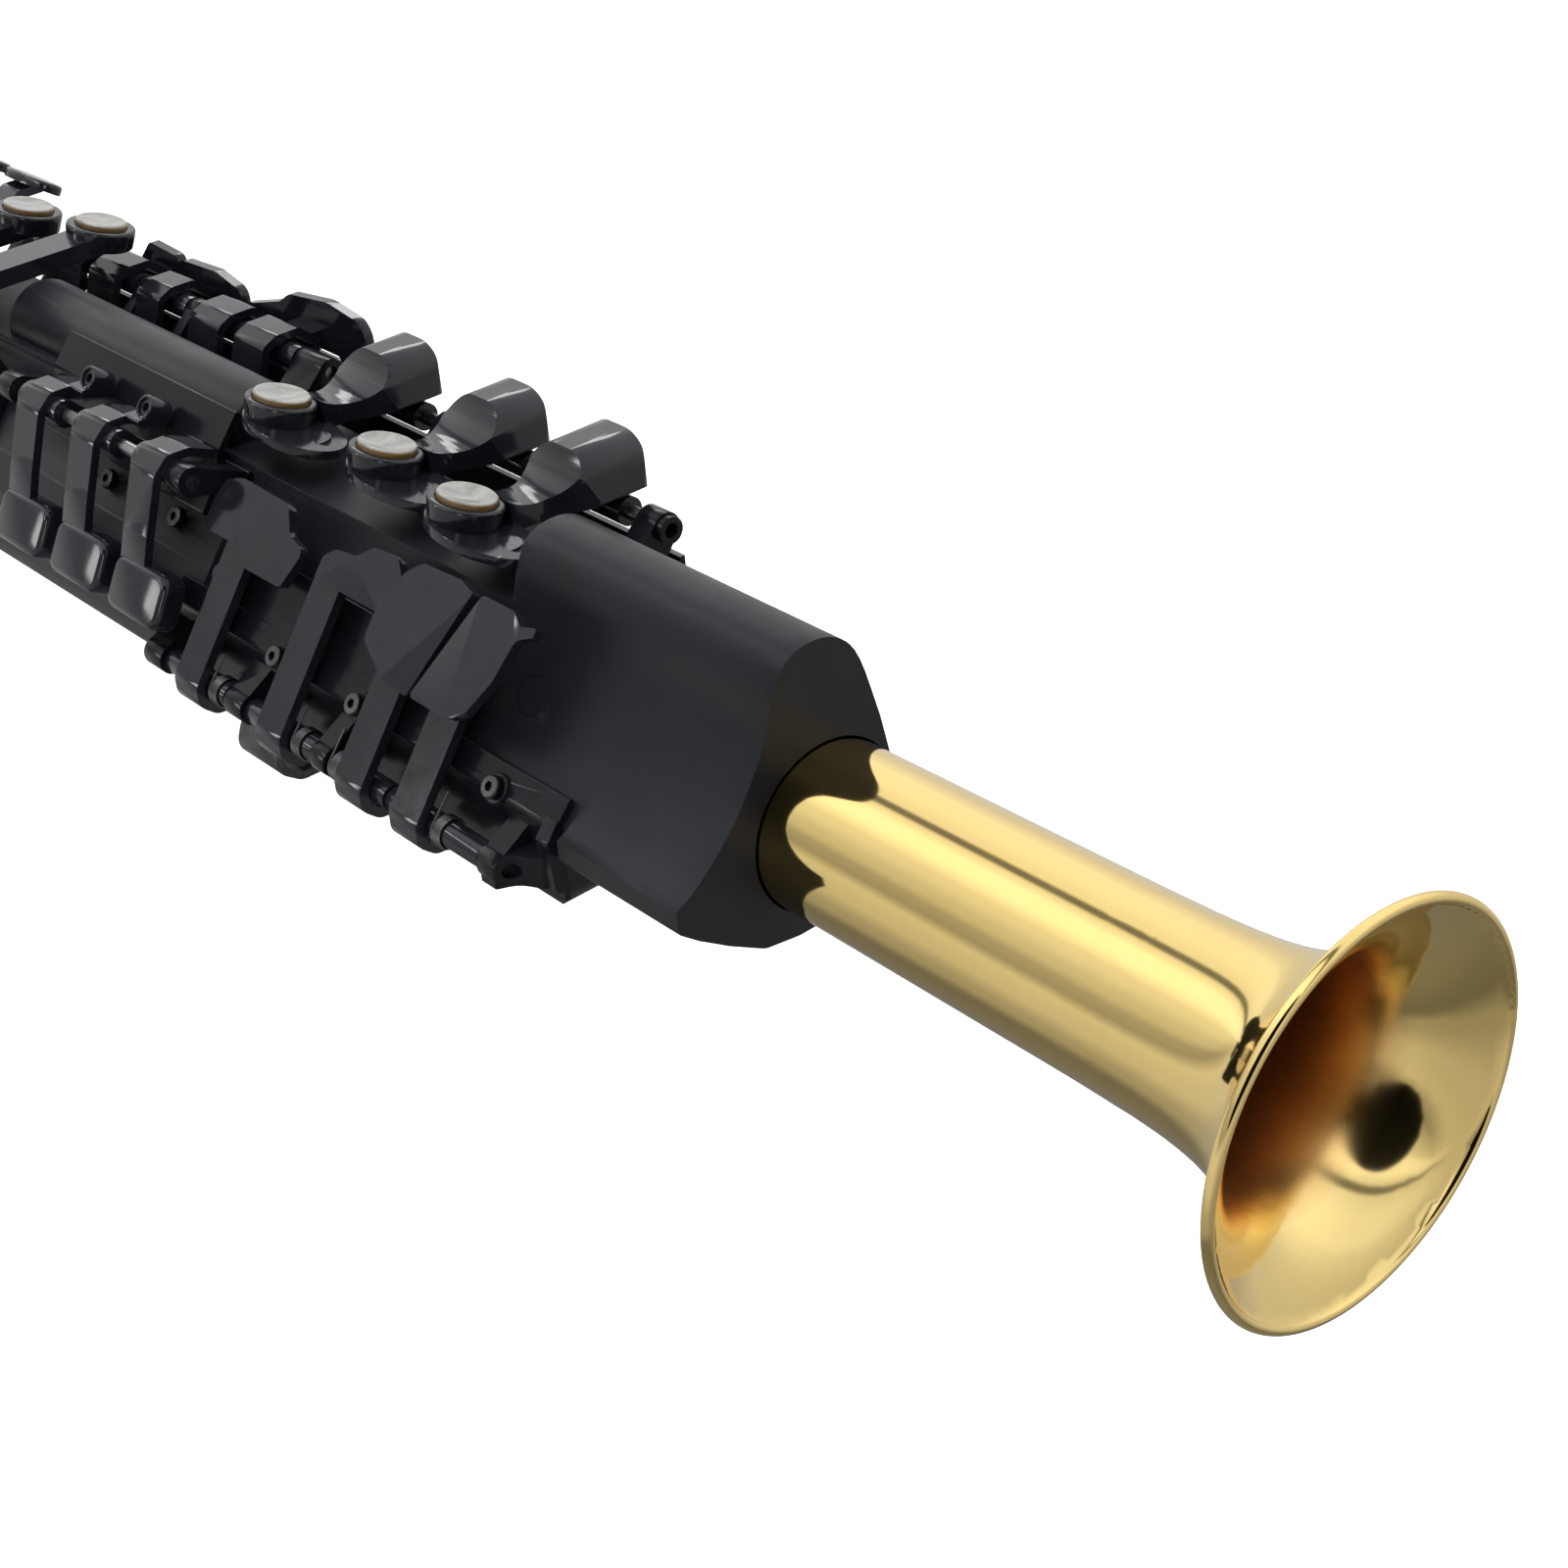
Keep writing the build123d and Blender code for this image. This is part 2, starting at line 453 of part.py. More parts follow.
mouth_plane = neck_plane.offset(-CORK_LENGTH + 0.3)
MOUTH = MOUTHPIECE_LENGTH - 0.3
with BuildPart() as mouthpiece:
    add(turned(mouth_plane, [(8.65, 0), (11.8, 0), (11.8, 7), (10.6, 9), (10.0, 40), (8.2, MOUTH),
                             (0, MOUTH), (0, 24), (8.65, 24)], [0.3, 0.8, 1, 1, 6, 0, 0, 0, 0]))
    add(turned(mouth_plane, [(0, 20), (5.0, 20), (4.0, MOUTH - 16), (0, MOUTH - 16)], 0),
        mode=Mode.SUBTRACT)
    side_view = Plane(origin=mouth_plane.origin, x_dir=mouth_plane.z_dir, z_dir=(0, 1, 0))
    with BuildSketch(side_view.offset(-15)):
        with BuildLine():
            FilletPolyline((34, 14), (34, 10.6), (44, 9.4), (MOUTH + 1, -TIP_DROP), (MOUTH + 1, 14),
                           radius=[0, 0, 12, 0, 0], close=True)
        make_face()
    extrude(amount=30, mode=Mode.SUBTRACT)
    with BuildSketch(side_view.offset(-15)):
        with BuildLine():
            Polyline((28, -14), (28, -7.2), (MOUTH + 1, -7.2), (MOUTH + 1, -14), close=True)
        make_face()
    extrude(amount=30, mode=Mode.SUBTRACT)
    with BuildSketch(side_view.offset(-4)):
        with BuildLine():
            FilletPolyline((38, -9), (38, -2.0), (MOUTH - 8, -6.0), (MOUTH - 4, -9), radius=0, close=True)
        make_face()
    extrude(amount=8, mode=Mode.SUBTRACT)
finish(mouthpiece, "mouthpiece")

with BuildPart() as reed:
    with BuildSketch(side_view.offset(-5.3)):
        with BuildLine():
            Polyline((22, -7.2), (MOUTH - 0.4, -7.2), (MOUTH - 0.4, -7.5), (50, -9.2), (22, -9.4),
                     close=True)
        make_face()
    extrude(amount=10.6)
    add(turned(mouth_plane, [(0, 20), (11.9, 20), (11.9, 28), (0, 28)], 0), mode=Mode.SUBTRACT)
finish(reed, "reed")


def lug_axis(height):
    """Plane across the two ligature lugs at a height along the mouthpiece."""
    centre = mouth_plane.origin + mouth_plane.z_dir * height - mouth_plane.y_dir * 13.5
    return Plane(origin=centre, x_dir=mouth_plane.z_dir, z_dir=(0, 1, 0))


with BuildPart() as ligature:
    add(turned(mouth_plane, [(10.75, 29), (11.75, 29), (11.75, 45), (10.75, 45)], [0, 0.3, 0.3, 0]))
    for height in (32.5, 41.5):
        with BuildSketch(Plane(origin=mouth_plane.origin + mouth_plane.z_dir * height,
                               x_dir=(0, 1, 0), z_dir=mouth_plane.z_dir).offset(-2.2)):
            with Locations((-4, -13), (4, -13)):
                RectangleRounded(4, 5, 1)
        extrude(amount=4.4)
        add(turned(lug_axis(height), [(0, -8), (1.05, -8), (1.05, 8), (0, 8)], 0), mode=Mode.SUBTRACT)
finish(ligature, "ligature")

with BuildPart() as ligature_screws:
    for height in (32.5, 41.5):
        add(turned(lug_axis(height), [(0, -5.9), (1.0, -5.9), (1.0, 6.1), (3.2, 6.1), (3.2, 10.5),
                                      (0, 10.5)],
                   [0, 0, 0, 0.5, 0.5, 0]))
finish(ligature_screws, "ligature_screws")

# ---------------------------------------------------------------- back of the body


def lug_pair(pivot, bore, inner, outer):
    """Two bored lugs that stand off the back of the body, one each side of a pivot."""
    with BuildPart() as pair:
        for side in (-1, 1):
            with BuildSketch(Plane.XZ.offset(-side * inner)):
                with Locations(pivot):
                    Circle(LUG_RADIUS)
                with Locations((pivot[0], (pivot[1] + HOUSING_BOTTOM) / 2)):
                    Rectangle(2 * LUG_RADIUS, HOUSING_BOTTOM - pivot[1])
                with Locations(pivot):
                    Circle(bore, mode=Mode.SUBTRACT)
            extrude(amount=-side * (outer - inner))
    return pair.part


with BuildPart() as strap_ring:
    with BuildSketch(Plane.XY.offset(HOUSING_BOTTOM)):
        with Locations((-452, 0)):
            RectangleRounded(20, 12, 3)
    extrude(amount=-1.8)
    with BuildSketch(Plane.XZ.offset(-1.6)):
        with Locations((-452, HOUSING_BOTTOM - 6.4)):
            Circle(6.6)
        with Locations((-452, HOUSING_BOTTOM)):
            Rectangle(13.2, 12)
        with Locations((-452, HOUSING_BOTTOM + 10)):
            Rectangle(30, 20, mode=Mode.SUBTRACT)
    extrude(amount=3.2)
    with BuildSketch(Plane.XZ.offset(-10)):
        with Locations((-452, HOUSING_BOTTOM - 7.4)):
            Circle(3.6)
    extrude(amount=20, mode=Mode.SUBTRACT)
finish(strap_ring, "strap_ring")

HOOK_X = -281.0
with BuildPart() as thumb_hook:
    add(strap([(4, HOUSING_BOTTOM - 1.0), (-20.5, HOUSING_BOTTOM - 1.0), (-31, HOUSING_BOTTOM - 2.6),
               (-33.5, -33.0), (-28, -37.0), (-17, -37.0), (-12, -34.0)], 2.0, 3.4, HOOK_X - 8, HOOK_X + 8))
    add(lug_pair(LEVER_PIVOT, PIN_BORE, 3.8, 6.6))
    with BuildSketch(Plane.XY.offset(HOUSING_BOTTOM)):
        with Locations((LEVER_PIVOT[0] - 5, 0)):
            Rectangle(17.6, 14)
    extrude(amount=-1.2)
finish(thumb_hook, "thumb_hook")

with BuildPart() as thumb_rest:
    rest_plane = Plane(origin=(-505, -4, HOUSING_BOTTOM), x_dir=(1, 0, 0), z_dir=(0, 0, -1))
    add(turned(rest_plane, [(0, 0), (9.5, 0), (9.5, 2.4), (0, 3.6)], [0, 0, 1, 0]))
    add(lug_pair(OCTAVE_PIVOT, BORE_RADIUS, 5.3, 8.5))
    with BuildSketch(Plane.XY.offset(HOUSING_BOTTOM)):
        with Locations(((OCTAVE_PIVOT[0] - 4 + rest_plane.origin.X) / 2, 0)):
            RectangleRounded(rest_plane.origin.X - OCTAVE_PIVOT[0] + 4, 18.4, 3)
    extrude(amount=-1.2)
finish(thumb_rest, "thumb_rest")

with BuildPart() as battery_cover:
    with BuildSketch(Plane.XY.offset(HOUSING_BOTTOM)):
        with Locations(door_middle):
            RectangleRounded(door_size[0] - 0.6, door_size[1] - 0.6, 3.7)
    extrude(amount=WALL)
    with BuildSketch(Plane.XY.offset(HOUSING_BOTTOM)):
        with Locations([(BATTERY_DOOR[0] + 9 + step * 3, door_middle[1]) for step in range(4)]):
            Rectangle(1.2, 18)
    extrude(amount=0.6, mode=Mode.SUBTRACT)
finish(battery_cover, "battery_cover")

CELL_RADIUS = 7.2
CELL_LENGTH = 50.0
with BuildPart() as battery_cells:
    for y in (-14.0, 4.0):
        for start in (-419.0, -366.0):
            add(tube((y, HOUSING_BOTTOM + WALL + CELL_RADIUS + 0.4), CELL_RADIUS, start,
                     start + CELL_LENGTH - 1.2))
            add(tube((y, HOUSING_BOTTOM + WALL + CELL_RADIUS + 0.4), 2.7, start + CELL_LENGTH - 1.2,
                     start + CELL_LENGTH))
finish(battery_cells, "battery_cells")

with BuildPart() as main_board:
    with BuildSketch(Plane.XY.offset(1.0)):
        with Locations((-380, -3)):
            Rectangle(340, 36)
    extrude(amount=1.6)
    with BuildSketch(Plane.XY.offset(2.6)):
        with Locations((-330, -4), (-420, -6), (-480, 2)):
            Rectangle(14, 14)
        with Locations((-260, -8), (-290, 4), (-450, 6), (-520, -6)):
            Rectangle(8, 6)
    extrude(amount=1.8)
finish(main_board, "main_board")

with BuildPart() as breath_sensor:
    add(tube((0, 6), 3.0, -574.0, -560.0))
    with BuildSketch(Plane.YZ.offset(-568)):
        with Locations((0, 6)):
            RectangleRounded(14, 12, 1)
    extrude(amount=8)
finish(breath_sensor, "breath_sensor")

JACK_BORE = 1.8
JACK_DEPTH = 12.0
with BuildPart() as jack_sockets:
    for x, y in JACK_SPOTS:
        add(turned(Plane(origin=(x, y, HOUSING_BOTTOM), x_dir=(1, 0, 0), z_dir=(0, 0, 1)),
                   [(JACK_BORE, 0), (JACK_BODY, 0), (JACK_BODY, JACK_DEPTH + 1.5), (0, JACK_DEPTH + 1.5),
                    (0, JACK_DEPTH), (JACK_BORE, JACK_DEPTH)], 0))
finish(jack_sockets, "jack_sockets")

# ---------------------------------------------------------------- lower stack: pearl keys F, E, D
ARCH_FAR = 33.0
ARCH_TOP = 41.0
ARCH_HALF = 10.0
ARM_HALF = 5.2
SCOOP_RADIUS = 12.0
SCOOP_HEIGHT = 46.3
CUP_DEPTH = 4.6


def cup_plane(x, y, top):
    """Plane of a touch cup's rim, leaning towards the far side."""
    return Plane(origin=(x, y, top - 1.4), x_dir=(0.995, 0, -0.104), z_dir=CUP_LEAN)


def touch_cup(plane, radius, depth):
    """Round cup with a shallow pocket for its pearl."""
    return turned(plane, [(0, -depth), (radius - 0.4, -depth), (radius, -1.4), (radius, 0),
                          (PEARL_RADIUS + 0.1, 0), (PEARL_RADIUS + 0.1, -1.3), (0, -1.3)],
                  [0, 0.6, 0, 0.7, 0.2, 0, 0])


def pearl(plane):
    """Dished round inlay that sits in a touch cup."""
    dish = 26.0
    with BuildPart() as inlay:
        add(turned(plane, [(0, -1.3), (PEARL_RADIUS, -1.3), (PEARL_RADIUS, 1.3), (0, 1.3)], [0, 0, 0.7, 0]))
        with Locations(plane.offset(dish + 0.75)):
            Sphere(dish, mode=Mode.SUBTRACT)
    return inlay.part


def stack_key(x, y):
    """Lower stack key: touch cup, oval plate with bumper, scooped arm and hollow arch over the rod."""
    rim = cup_plane(x, y, PEARL_TOP)
    arm_start = y + 6.6
    with BuildPart() as key:
        with BuildSketch(Plane.XZ.offset(-ARCH_FAR)):
            with BuildLine():
                FilletPolyline((x - ARCH_HALF, 30), (x - ARCH_HALF + 1.6, ARCH_TOP),
                               (x + ARCH_HALF - 2.2, ARCH_TOP), (x + ARCH_HALF, 30),
                               radius=[0.5, 6.5, 7, 0.5], close=True)
            make_face()
        extrude(amount=ARCH_FAR - arm_start)
        with BuildSketch(Plane.XY.offset(25)):
            with BuildLine():
                FilletPolyline((x - ARM_HALF, arm_start - 2), (x - ARM_HALF, 9), (x - ARCH_HALF, 20),
                               (x - ARCH_HALF, ARCH_FAR), (x + ARCH_HALF, ARCH_FAR), (x + ARCH_HALF, 20),
                               (x + ARM_HALF, 9), (x + ARM_HALF, arm_start - 2),
                               radius=[0, 8, 6, 3, 3, 6, 8, 0], close=True)
            make_face()
        extrude(amount=20, mode=Mode.INTERSECT)
        add(tube((y + 14, SCOOP_HEIGHT), SCOOP_RADIUS, x - 12, x + 12), mode=Mode.SUBTRACT)
        with BuildSketch(Plane.XZ.offset(2 - ARCH_FAR)):
            with BuildLine():
                FilletPolyline((x - 8, 29), (x - 6.8, 38.8), (x + 6.2, 38.8), (x + 8, 29),
                               radius=[0, 4.5, 5, 0], close=True)
            make_face()
        extrude(amount=8, mode=Mode.SUBTRACT)
        add(slab([(24.4, 39.5), (31.5, 39.5), (30.4, 25.6), (24.4, 25.6)], [0, 0, 0, 0], x - 3, x + 3))
        add(tube(FAR_ROD, 3.2, x - 8.5, x + 8.5))
        add(touch_cup(rim, CUP_RADIUS, CUP_DEPTH))
        with BuildSketch(rim.offset(-CUP_DEPTH + 0.2)):
            with Locations((6.0, 0)):
                Ellipse(14.5, 9.6)
        extrude(amount=-2.0)
        with BuildSketch(Plane.XY.offset(29.3)):
            with Locations((x + 12.5, y - 0.5)):
                Circle(3.4)
        extrude(amount=3.6)
        add(tube(FAR_ROD, BORE_RADIUS, x - 12, x + 12), mode=Mode.SUBTRACT)
    return key.part


LOWER_STACK = {"f": (-297.0, -3.0), "e": (-257.0, -2.5), "d": (-223.5, -6.0)}
for letter, (x, y) in LOWER_STACK.items():
    with BuildPart() as key:
        add(stack_key(x, y))
    finish(key, f"key_{letter}")
    with BuildPart() as inlay:
        add(pearl(cup_plane(x, y, PEARL_TOP)))
    finish(inlay, f"pearl_{letter}")

# ---------------------------------------------------------------- upper stack: pearl keys B, A, G and bis
UPPER_CUP_RADIUS = 8.6


def upper_key(x, y, arm_from, arm_to):
    """Upper stack key: touch cup at the end of a straight flat arm from the near-side rod."""
    rim = cup_plane(x, y, UPPER_PEARL_TOP)
    with BuildPart() as key:
        add(strap([(-24.0, 29.0), (-20.5, 35.6), (-15.0, 38.6), (y - 3.0, 38.6)], 4.4, 2.6, arm_from,
                  arm_to))
        add(touch_cup(rim, UPPER_CUP_RADIUS, 5.2))
        add(tube(UPPER_ROD, 3.2, arm_from - 3, arm_to + 3))
        add(tube(UPPER_ROD, BORE_RADIUS, arm_from - 5, arm_to + 5), mode=Mode.SUBTRACT)
    return key.part


UPPER_STACK = {"g": (-420.0, 22.5), "a": (-447.0, 16.5), "b": (-490.0, 8.0)}
for letter, (x, y) in UPPER_STACK.items():
    with BuildPart() as key:
        add(upper_key(x, y, x - 7, x + 5))
    finish(key, f"key_{letter}")
    with BuildPart() as inlay:
        add(pearl(cup_plane(x, y, UPPER_PEARL_TOP)))
    finish(inlay, f"pearl_{letter}")

BIS_X = -470.5
with BuildPart() as key_bis:
    add(strap([(-24.0, 29.0), (-20.5, 35.0), (-15.0, 37.6), (9.0, 37.6)], 3.2, 2.2, BIS_X - 3.5,
              BIS_X + 3.5))
    add(turned(Plane(origin=(BIS_X, 11.0, 38.2), x_dir=(1, 0, 0), z_dir=(0, 0, 1)),
               [(0, -2.2), (5.4, -2.2), (5.4, 2.4), (0, 3.0)], [0, 0.5, 1, 0]))
    add(tube(UPPER_ROD, 3.2, BIS_X - 5, BIS_X + 5))
    add(tube(UPPER_ROD, BORE_RADIUS, BIS_X - 7, BIS_X + 7), mode=Mode.SUBTRACT)
finish(key_bis, "key_bis")

# ---------------------------------------------------------------- right-hand side keys
SIDE_KEYS = {"side_key_e": (-309.0, -304.5, False), "side_key_c": (-335.5, -330.8, True),
             "side_key_b_flat": (-361.0, -357.0, True)}
SIDE_PATH = [(-40.4, 5.0), (-37.0, 15.5), (-32.3, 28.3), (-28.9, 31.3), (-24.0, 31.2), (-17.6, 28.4)]


def touch_pad(plane):
    """Rounded block with a soft upper edge."""
    with BuildPart() as pad:
        with BuildSketch(plane.offset(-3.2)):
            RectangleRounded(22, 12.5, 3.4)
        extrude(amount=5.4)
        fillet(pad.faces().sort_by(Axis(plane.origin, plane.z_dir))[-1].edges(), 1.6)
    return pad.part


def side_key(x, pad_x, has_bumper):
    """Strap over the near rod with a touch pad below and, on two keys, a bumper on its tail."""
    pad = Plane(origin=(pad_x, -41.3, 3.6), x_dir=(1, 0, 0), z_dir=(0, -0.87, 0.5))
    with BuildPart() as key:
        add(strap(SIDE_PATH, 2.0, 2.0, x - 5, x + 5))
        add(tube(SIDE_ROD, 3.3, x - 8, x + (8 if has_bumper else 5.4)))
        add(touch_pad(pad))
        if has_bumper:
            knob = Plane(origin=(x + 7.6, -17.0, 31.2), x_dir=(1, 0, 0), z_dir=FLANK_NORMAL)
            add(slab([(-24.2, 32.4), (-24.0, 30.6), (-17.8, 28.7), (-15.8, 31.8)], [0.5, 0.5, 1, 1],
                     x + 4, x + 10.4))
            add(turned(knob, [(0, -1.2), (2.9, -1.2), (2.9, 4.6), (2.1, 4.6), (2.1, 4.0), (1.1, 4.0),
                              (1.1, 2.8), (0, 2.8)], [0, 0, 0.4, 0.1, 0, 0, 0, 0]))
        add(tube(SIDE_ROD, BORE_RADIUS, x - 10, x + 10), mode=Mode.SUBTRACT)
    return key.part


for name, (x, pad_x, has_bumper) in SIDE_KEYS.items():
    with BuildPart() as key:
        add(side_key(x, pad_x, has_bumper))
    finish(key, name)

# ---------------------------------------------------------------- right little finger and high levers
LEVER_OUT = 32.0            # distance of a lever strap's outer face from the body axis
LEVER_THICK = 2.2
RAISED_PLATE = 34.8         # inner face of the two raised touch plates
TOUCH_TILT = 4.0            # tilt of the raised plates towards the front, in degrees
LEVER_WEB = [(-44.8, -12.8), (-44.8, -8.4), (-42.0, -8.4), (-40.0, -12.8), (-40.8, -15.0), (-42.4, -15.0)]


def flank_point(along, out):
    """Point y, z at a distance out from the axis plane and a height along the flank."""
    return (FLANK_NORMAL.Y * out + FLANK_UP.Y * along, FLANK_NORMAL.Z * out + FLANK_UP.Z * along)


def lever(foot, strap_top, hinge, plate_out, outline, radii):
    """Strap that wraps the low rod from outside and carries a shaped touch plate on the flank."""
    middle = LEVER_OUT - LEVER_THICK / 2
    path = [(-39.0, -15.6), (-42.2, -15.4), (-45.4, -12.6), flank_point(-34.4, middle),
            flank_point(strap_top, middle)]
    tilt = math.radians(TOUCH_TILT) if plate_out > LEVER_OUT else 0
    touch_normal = FLANK_NORMAL * math.cos(tilt) + FLANK_UP * math.sin(tilt)
    with BuildPart() as key:
        add(strap(path, LEVER_THICK, 2.4, foot - 4.6, foot + 4.6))
        add(tube(PINKY_ROD, 2.8, *hinge))
        add(slab(LEVER_WEB, 0, foot - 3.8, foot + 3.8))
        add(plate(Plane(origin=FLANK_NORMAL * plate_out, x_dir=(1, 0, 0), z_dir=touch_normal),
                  outline, radii, LEVER_THICK))
        if plate_out > LEVER_OUT:
            riser = [flank_point(strap_top - 4.5, middle), flank_point(strap_top - 4.5, plate_out + 1.6),
                     flank_point(strap_top, plate_out + 1.6), flank_point(strap_top, middle)]
            add(slab(riser, 0, foot - 2.4, foot + 4.0))
        add(tube(PINKY_ROD, BORE_RADIUS, hinge[0] - 1, hinge[1] + 1), mode=Mode.SUBTRACT)
    return key.part


LEVERS = {
    "high_f_sharp_lever": (-282.5, 2.0, (-296.0, -272.0), LEVER_OUT - 0.8,
                           [(-295, 4.9), (-293.5, 8.8), (-288, 10.6), (-270, 10.2), (-265.8, 4.6),
                            (-259.2, 2.8), (-262.4, -6.4), (-276.4, -6.4), (-281.5, -2.9), (-295.7, -2.9)],
                           [3, 2.4, 4, 3, 4, 2, 1.6, 3, 5, 2]),
    "trill_f_sharp_lever": (-249.8, 4.0, (-263.0, -238.0), LEVER_OUT - 0.8,
                            [(-252.8, -0.9), (-252.6, 4.2), (-249.2, 6.6), (-242.6, 7.2), (-238, 10.6),
                             (-230, 11.2), (-226.4, 7.6), (-228.8, -0.9)],
                            [1, 2.4, 3, 4, 5, 3, 2, 0.8]),
    "low_e_flat_lever": (-220.0, -1.0, (-231.0, -211.5), RAISED_PLATE,
                         [(-225.5, -6.4), (-226, 1.5), (-222.4, 9.4), (-218.6, 12.6), (-206.2, 13.2),
                          (-201.4, 11.8), (-208.4, -12.4), (-215, -11.6)],
                         [3.5, 8, 4, 3, 3, 1.2, 1, 5]),
    "low_c_lever": (-200.4, -7.0, (-210.5, -179.6), RAISED_PLATE,
                    [(-198.6, 12.5), (-188.6, 12.5), (-185, 10.4), (-180.6, 11.6), (-180.6, 9.6),
                     (-184.6, 7.6), (-185.6, -1.5), (-189, -9.8), (-193.4, -12), (-205.8, -11.8)],
                    [1.5, 2, 0.5, 0.5, 0.5, 2, 8, 4, 3, 1]),
}
CREASE = Plane(origin=FLANK_NORMAL * (RAISED_PLATE + LEVER_THICK) + Vector(-208.6, 0, 0) - FLANK_UP * 0.5,
               x_dir=(1, 0, 0), z_dir=FLANK_NORMAL * 0.98 + (Vector(0.96, 0, 0) - FLANK_UP * 0.28) * 0.20)
for name, (foot, strap_top, hinge, plate_out, outline, radii) in LEVERS.items():
    with BuildPart() as key:
        add(lever(foot, strap_top, hinge, plate_out, outline, radii))
        if name == "low_e_flat_lever":
            split(bisect_by=CREASE, keep=Keep.BOTTOM)
    finish(key, name)

# ---------------------------------------------------------------- left little finger table keys
TABLE_KEYS = {
    "table_g_sharp": ([(-443.4, -431.5), (-427.5, -414.5)], (-445.0, -412.4), 21.5,
                      [(-431, 21.5), (-431, 26), (-424.5, 32), (-410.6, 31.2), (-410.6, 21.5)],
                      [1.5, 2, 3, 2, 1.5]),
    "table_c_sharp": ([(-403.4, -392.8)], (-406.2, -388.4), 21.0,
                      [(-409.2, 21), (-409.2, 30.8), (-392, 31.8), (-381.2, 29.4), (-381.2, 21)],
                      [1.5, 2, 6, 3, 1.5]),
    "table_b": ([(-378.0, -364.6)], (-382.2, -362.4), 12.0,
                [(-381.5, 12), (-381.5, 21.2), (-339.6, 21.2), (-343, 12)], [2, 1.5, 2, 3]),
    "table_b_flat": ([(-357.5, -344.5)], (-361.0, -339.4), 23.4,
                     [(-379.6, 23.4), (-379.6, 26.6), (-362.6, 31.4), (-357.4, 34.6), (-340, 36.8),
                      (-325.4, 34.8), (-325.4, 27), (-330.8, 19.4), (-337.8, 19), (-337.8, 23.4)],
                     [1, 1, 6, 6, 14, 5, 10, 2, 1.5, 1.5]),
}
PLATE_INNER = 36.8


def table_key(straps, barrel, low, outline, radii):
    """Straps over the far rod, the last of which ends in an upright touch plate on the far side."""
    with BuildPart() as key:
        for start, end in straps:
            add(strap([(18.6, 21.4), (21.2, 28.9), (24.6, 30.4), (30.5, 30.4)], 2.0, 1.6, start, end))
            add(slab([(24.8, 25.6), (30.0, 25.6), (30.0, 30.2), (24.8, 30.2)], 0, start + 1, end - 1))
        add(strap([(28.0, 30.4), (30.5, 30.4), (34.8, 26.4), (34.8, low + 0.5)], 2.0, 1.6, start, end))
        add(slab([(34.4, low + 1), (37.2, low + 1), (37.2, low + 5), (34.4, low + 5)], 0, start + 1,
                 end - 1))
        with BuildSketch(Plane.XZ.offset(-PLATE_INNER)):
            with BuildLine():
                FilletPolyline(*outline, radius=radii, close=True)
            make_face()
        extrude(amount=-2.4)
        add(tube(FAR_ROD, 3.2, *barrel))
        add(tube(FAR_ROD, BORE_RADIUS, barrel[0] - 1, barrel[1] + 1), mode=Mode.SUBTRACT)
    return key.part


for name, (straps, barrel, low, outline, radii) in TABLE_KEYS.items():
    with BuildPart() as key:
        add(table_key(straps, barrel, low, outline, radii))
    finish(key, name)

# ---------------------------------------------------------------- left palm keys
PALM_KEYS = {"palm_key_d": -485.0, "palm_key_e_flat": -514.0, "palm_key_f": -542.0}


def palm_key(x):
    """Teardrop touch on a strap from the far rod, standing out on the left side."""
    touch = Plane(origin=(x, 36.0, 34.0), x_dir=(1, 0, 0), z_dir=(0, 0.55, 0.835))
    with BuildPart() as key:
        add(strap([(25.4, 27.0), (25.8, 31.0), (30.0, 34.2), (37.0, 34.2)], 2.4, 1.4, x - 4.5, x + 4.5))
        with BuildSketch(touch):
            Ellipse(11.5, 6.0)
        extrude(amount=2.6)
        fillet(key.edges().filter_by(GeomType.ELLIPSE).group_by(Axis(touch.origin, touch.z_dir))[-1], 0.9)
        add(tube(FAR_ROD, 3.2, x - 9, x + 9))
        add(tube(FAR_ROD, BORE_RADIUS, x - 11, x + 11), mode=Mode.SUBTRACT)
    return key.part


for name, x in PALM_KEYS.items():
    with BuildPart() as key:
        add(palm_key(x))
    finish(key, name)

# ---------------------------------------------------------------- thumb controls
with BuildPart() as octave_key:
    with BuildSketch(Plane.XZ.offset(-5)):
        with BuildLine():
            FilletPolyline((-541, -27.4), (-541, -31.0), (-530, -34.0), (-517, -31.6), (-517, -29.0),
                           (-530, -26.8), radius=[0.8, 2, 6, 1, 1, 4], close=True)
        make_face()
    extrude(amount=10)
    with BuildSketch(Plane.XZ.offset(-8)):
        with Locations(OCTAVE_PIVOT):
            Circle(BORE_RADIUS)
    extrude(amount=16, mode=Mode.SUBTRACT)
finish(octave_key, "octave_key")

for name, (x, y) in BUTTON_SPOTS.items():
    with BuildPart() as button:
        add(turned(Plane(origin=(x, y, HOUSING_BOTTOM), x_dir=(1, 0, 0), z_dir=(0, 0, -1)),
                   [(0, -4.0), (5.4, -4.0), (5.4, -2.6), (BUTTON_RADIUS, -2.6), (BUTTON_RADIUS, 1.5),
                    (0, 1.5)],
                   [0, 0, 0, 0, 0.6, 0]))
    finish(button, name)

with BuildPart() as analog_lever:
    with BuildSketch(Plane.XZ.offset(-3.5)):
        with Locations(LEVER_PIVOT):
            Circle(3.0)
        with BuildLine():
            FilletPolyline((-264.4, -29), (-263.4, -36), (-260.6, -36), (-259.6, -29), radius=[0, 1, 1, 0],
                           close=True)
        make_face()
    extrude(amount=7)
    with BuildSketch(Plane.XZ.offset(-6)):
        with Locations(LEVER_PIVOT):
            Circle(PIN_BORE)
    extrude(amount=12, mode=Mode.SUBTRACT)
finish(analog_lever, "analog_lever")
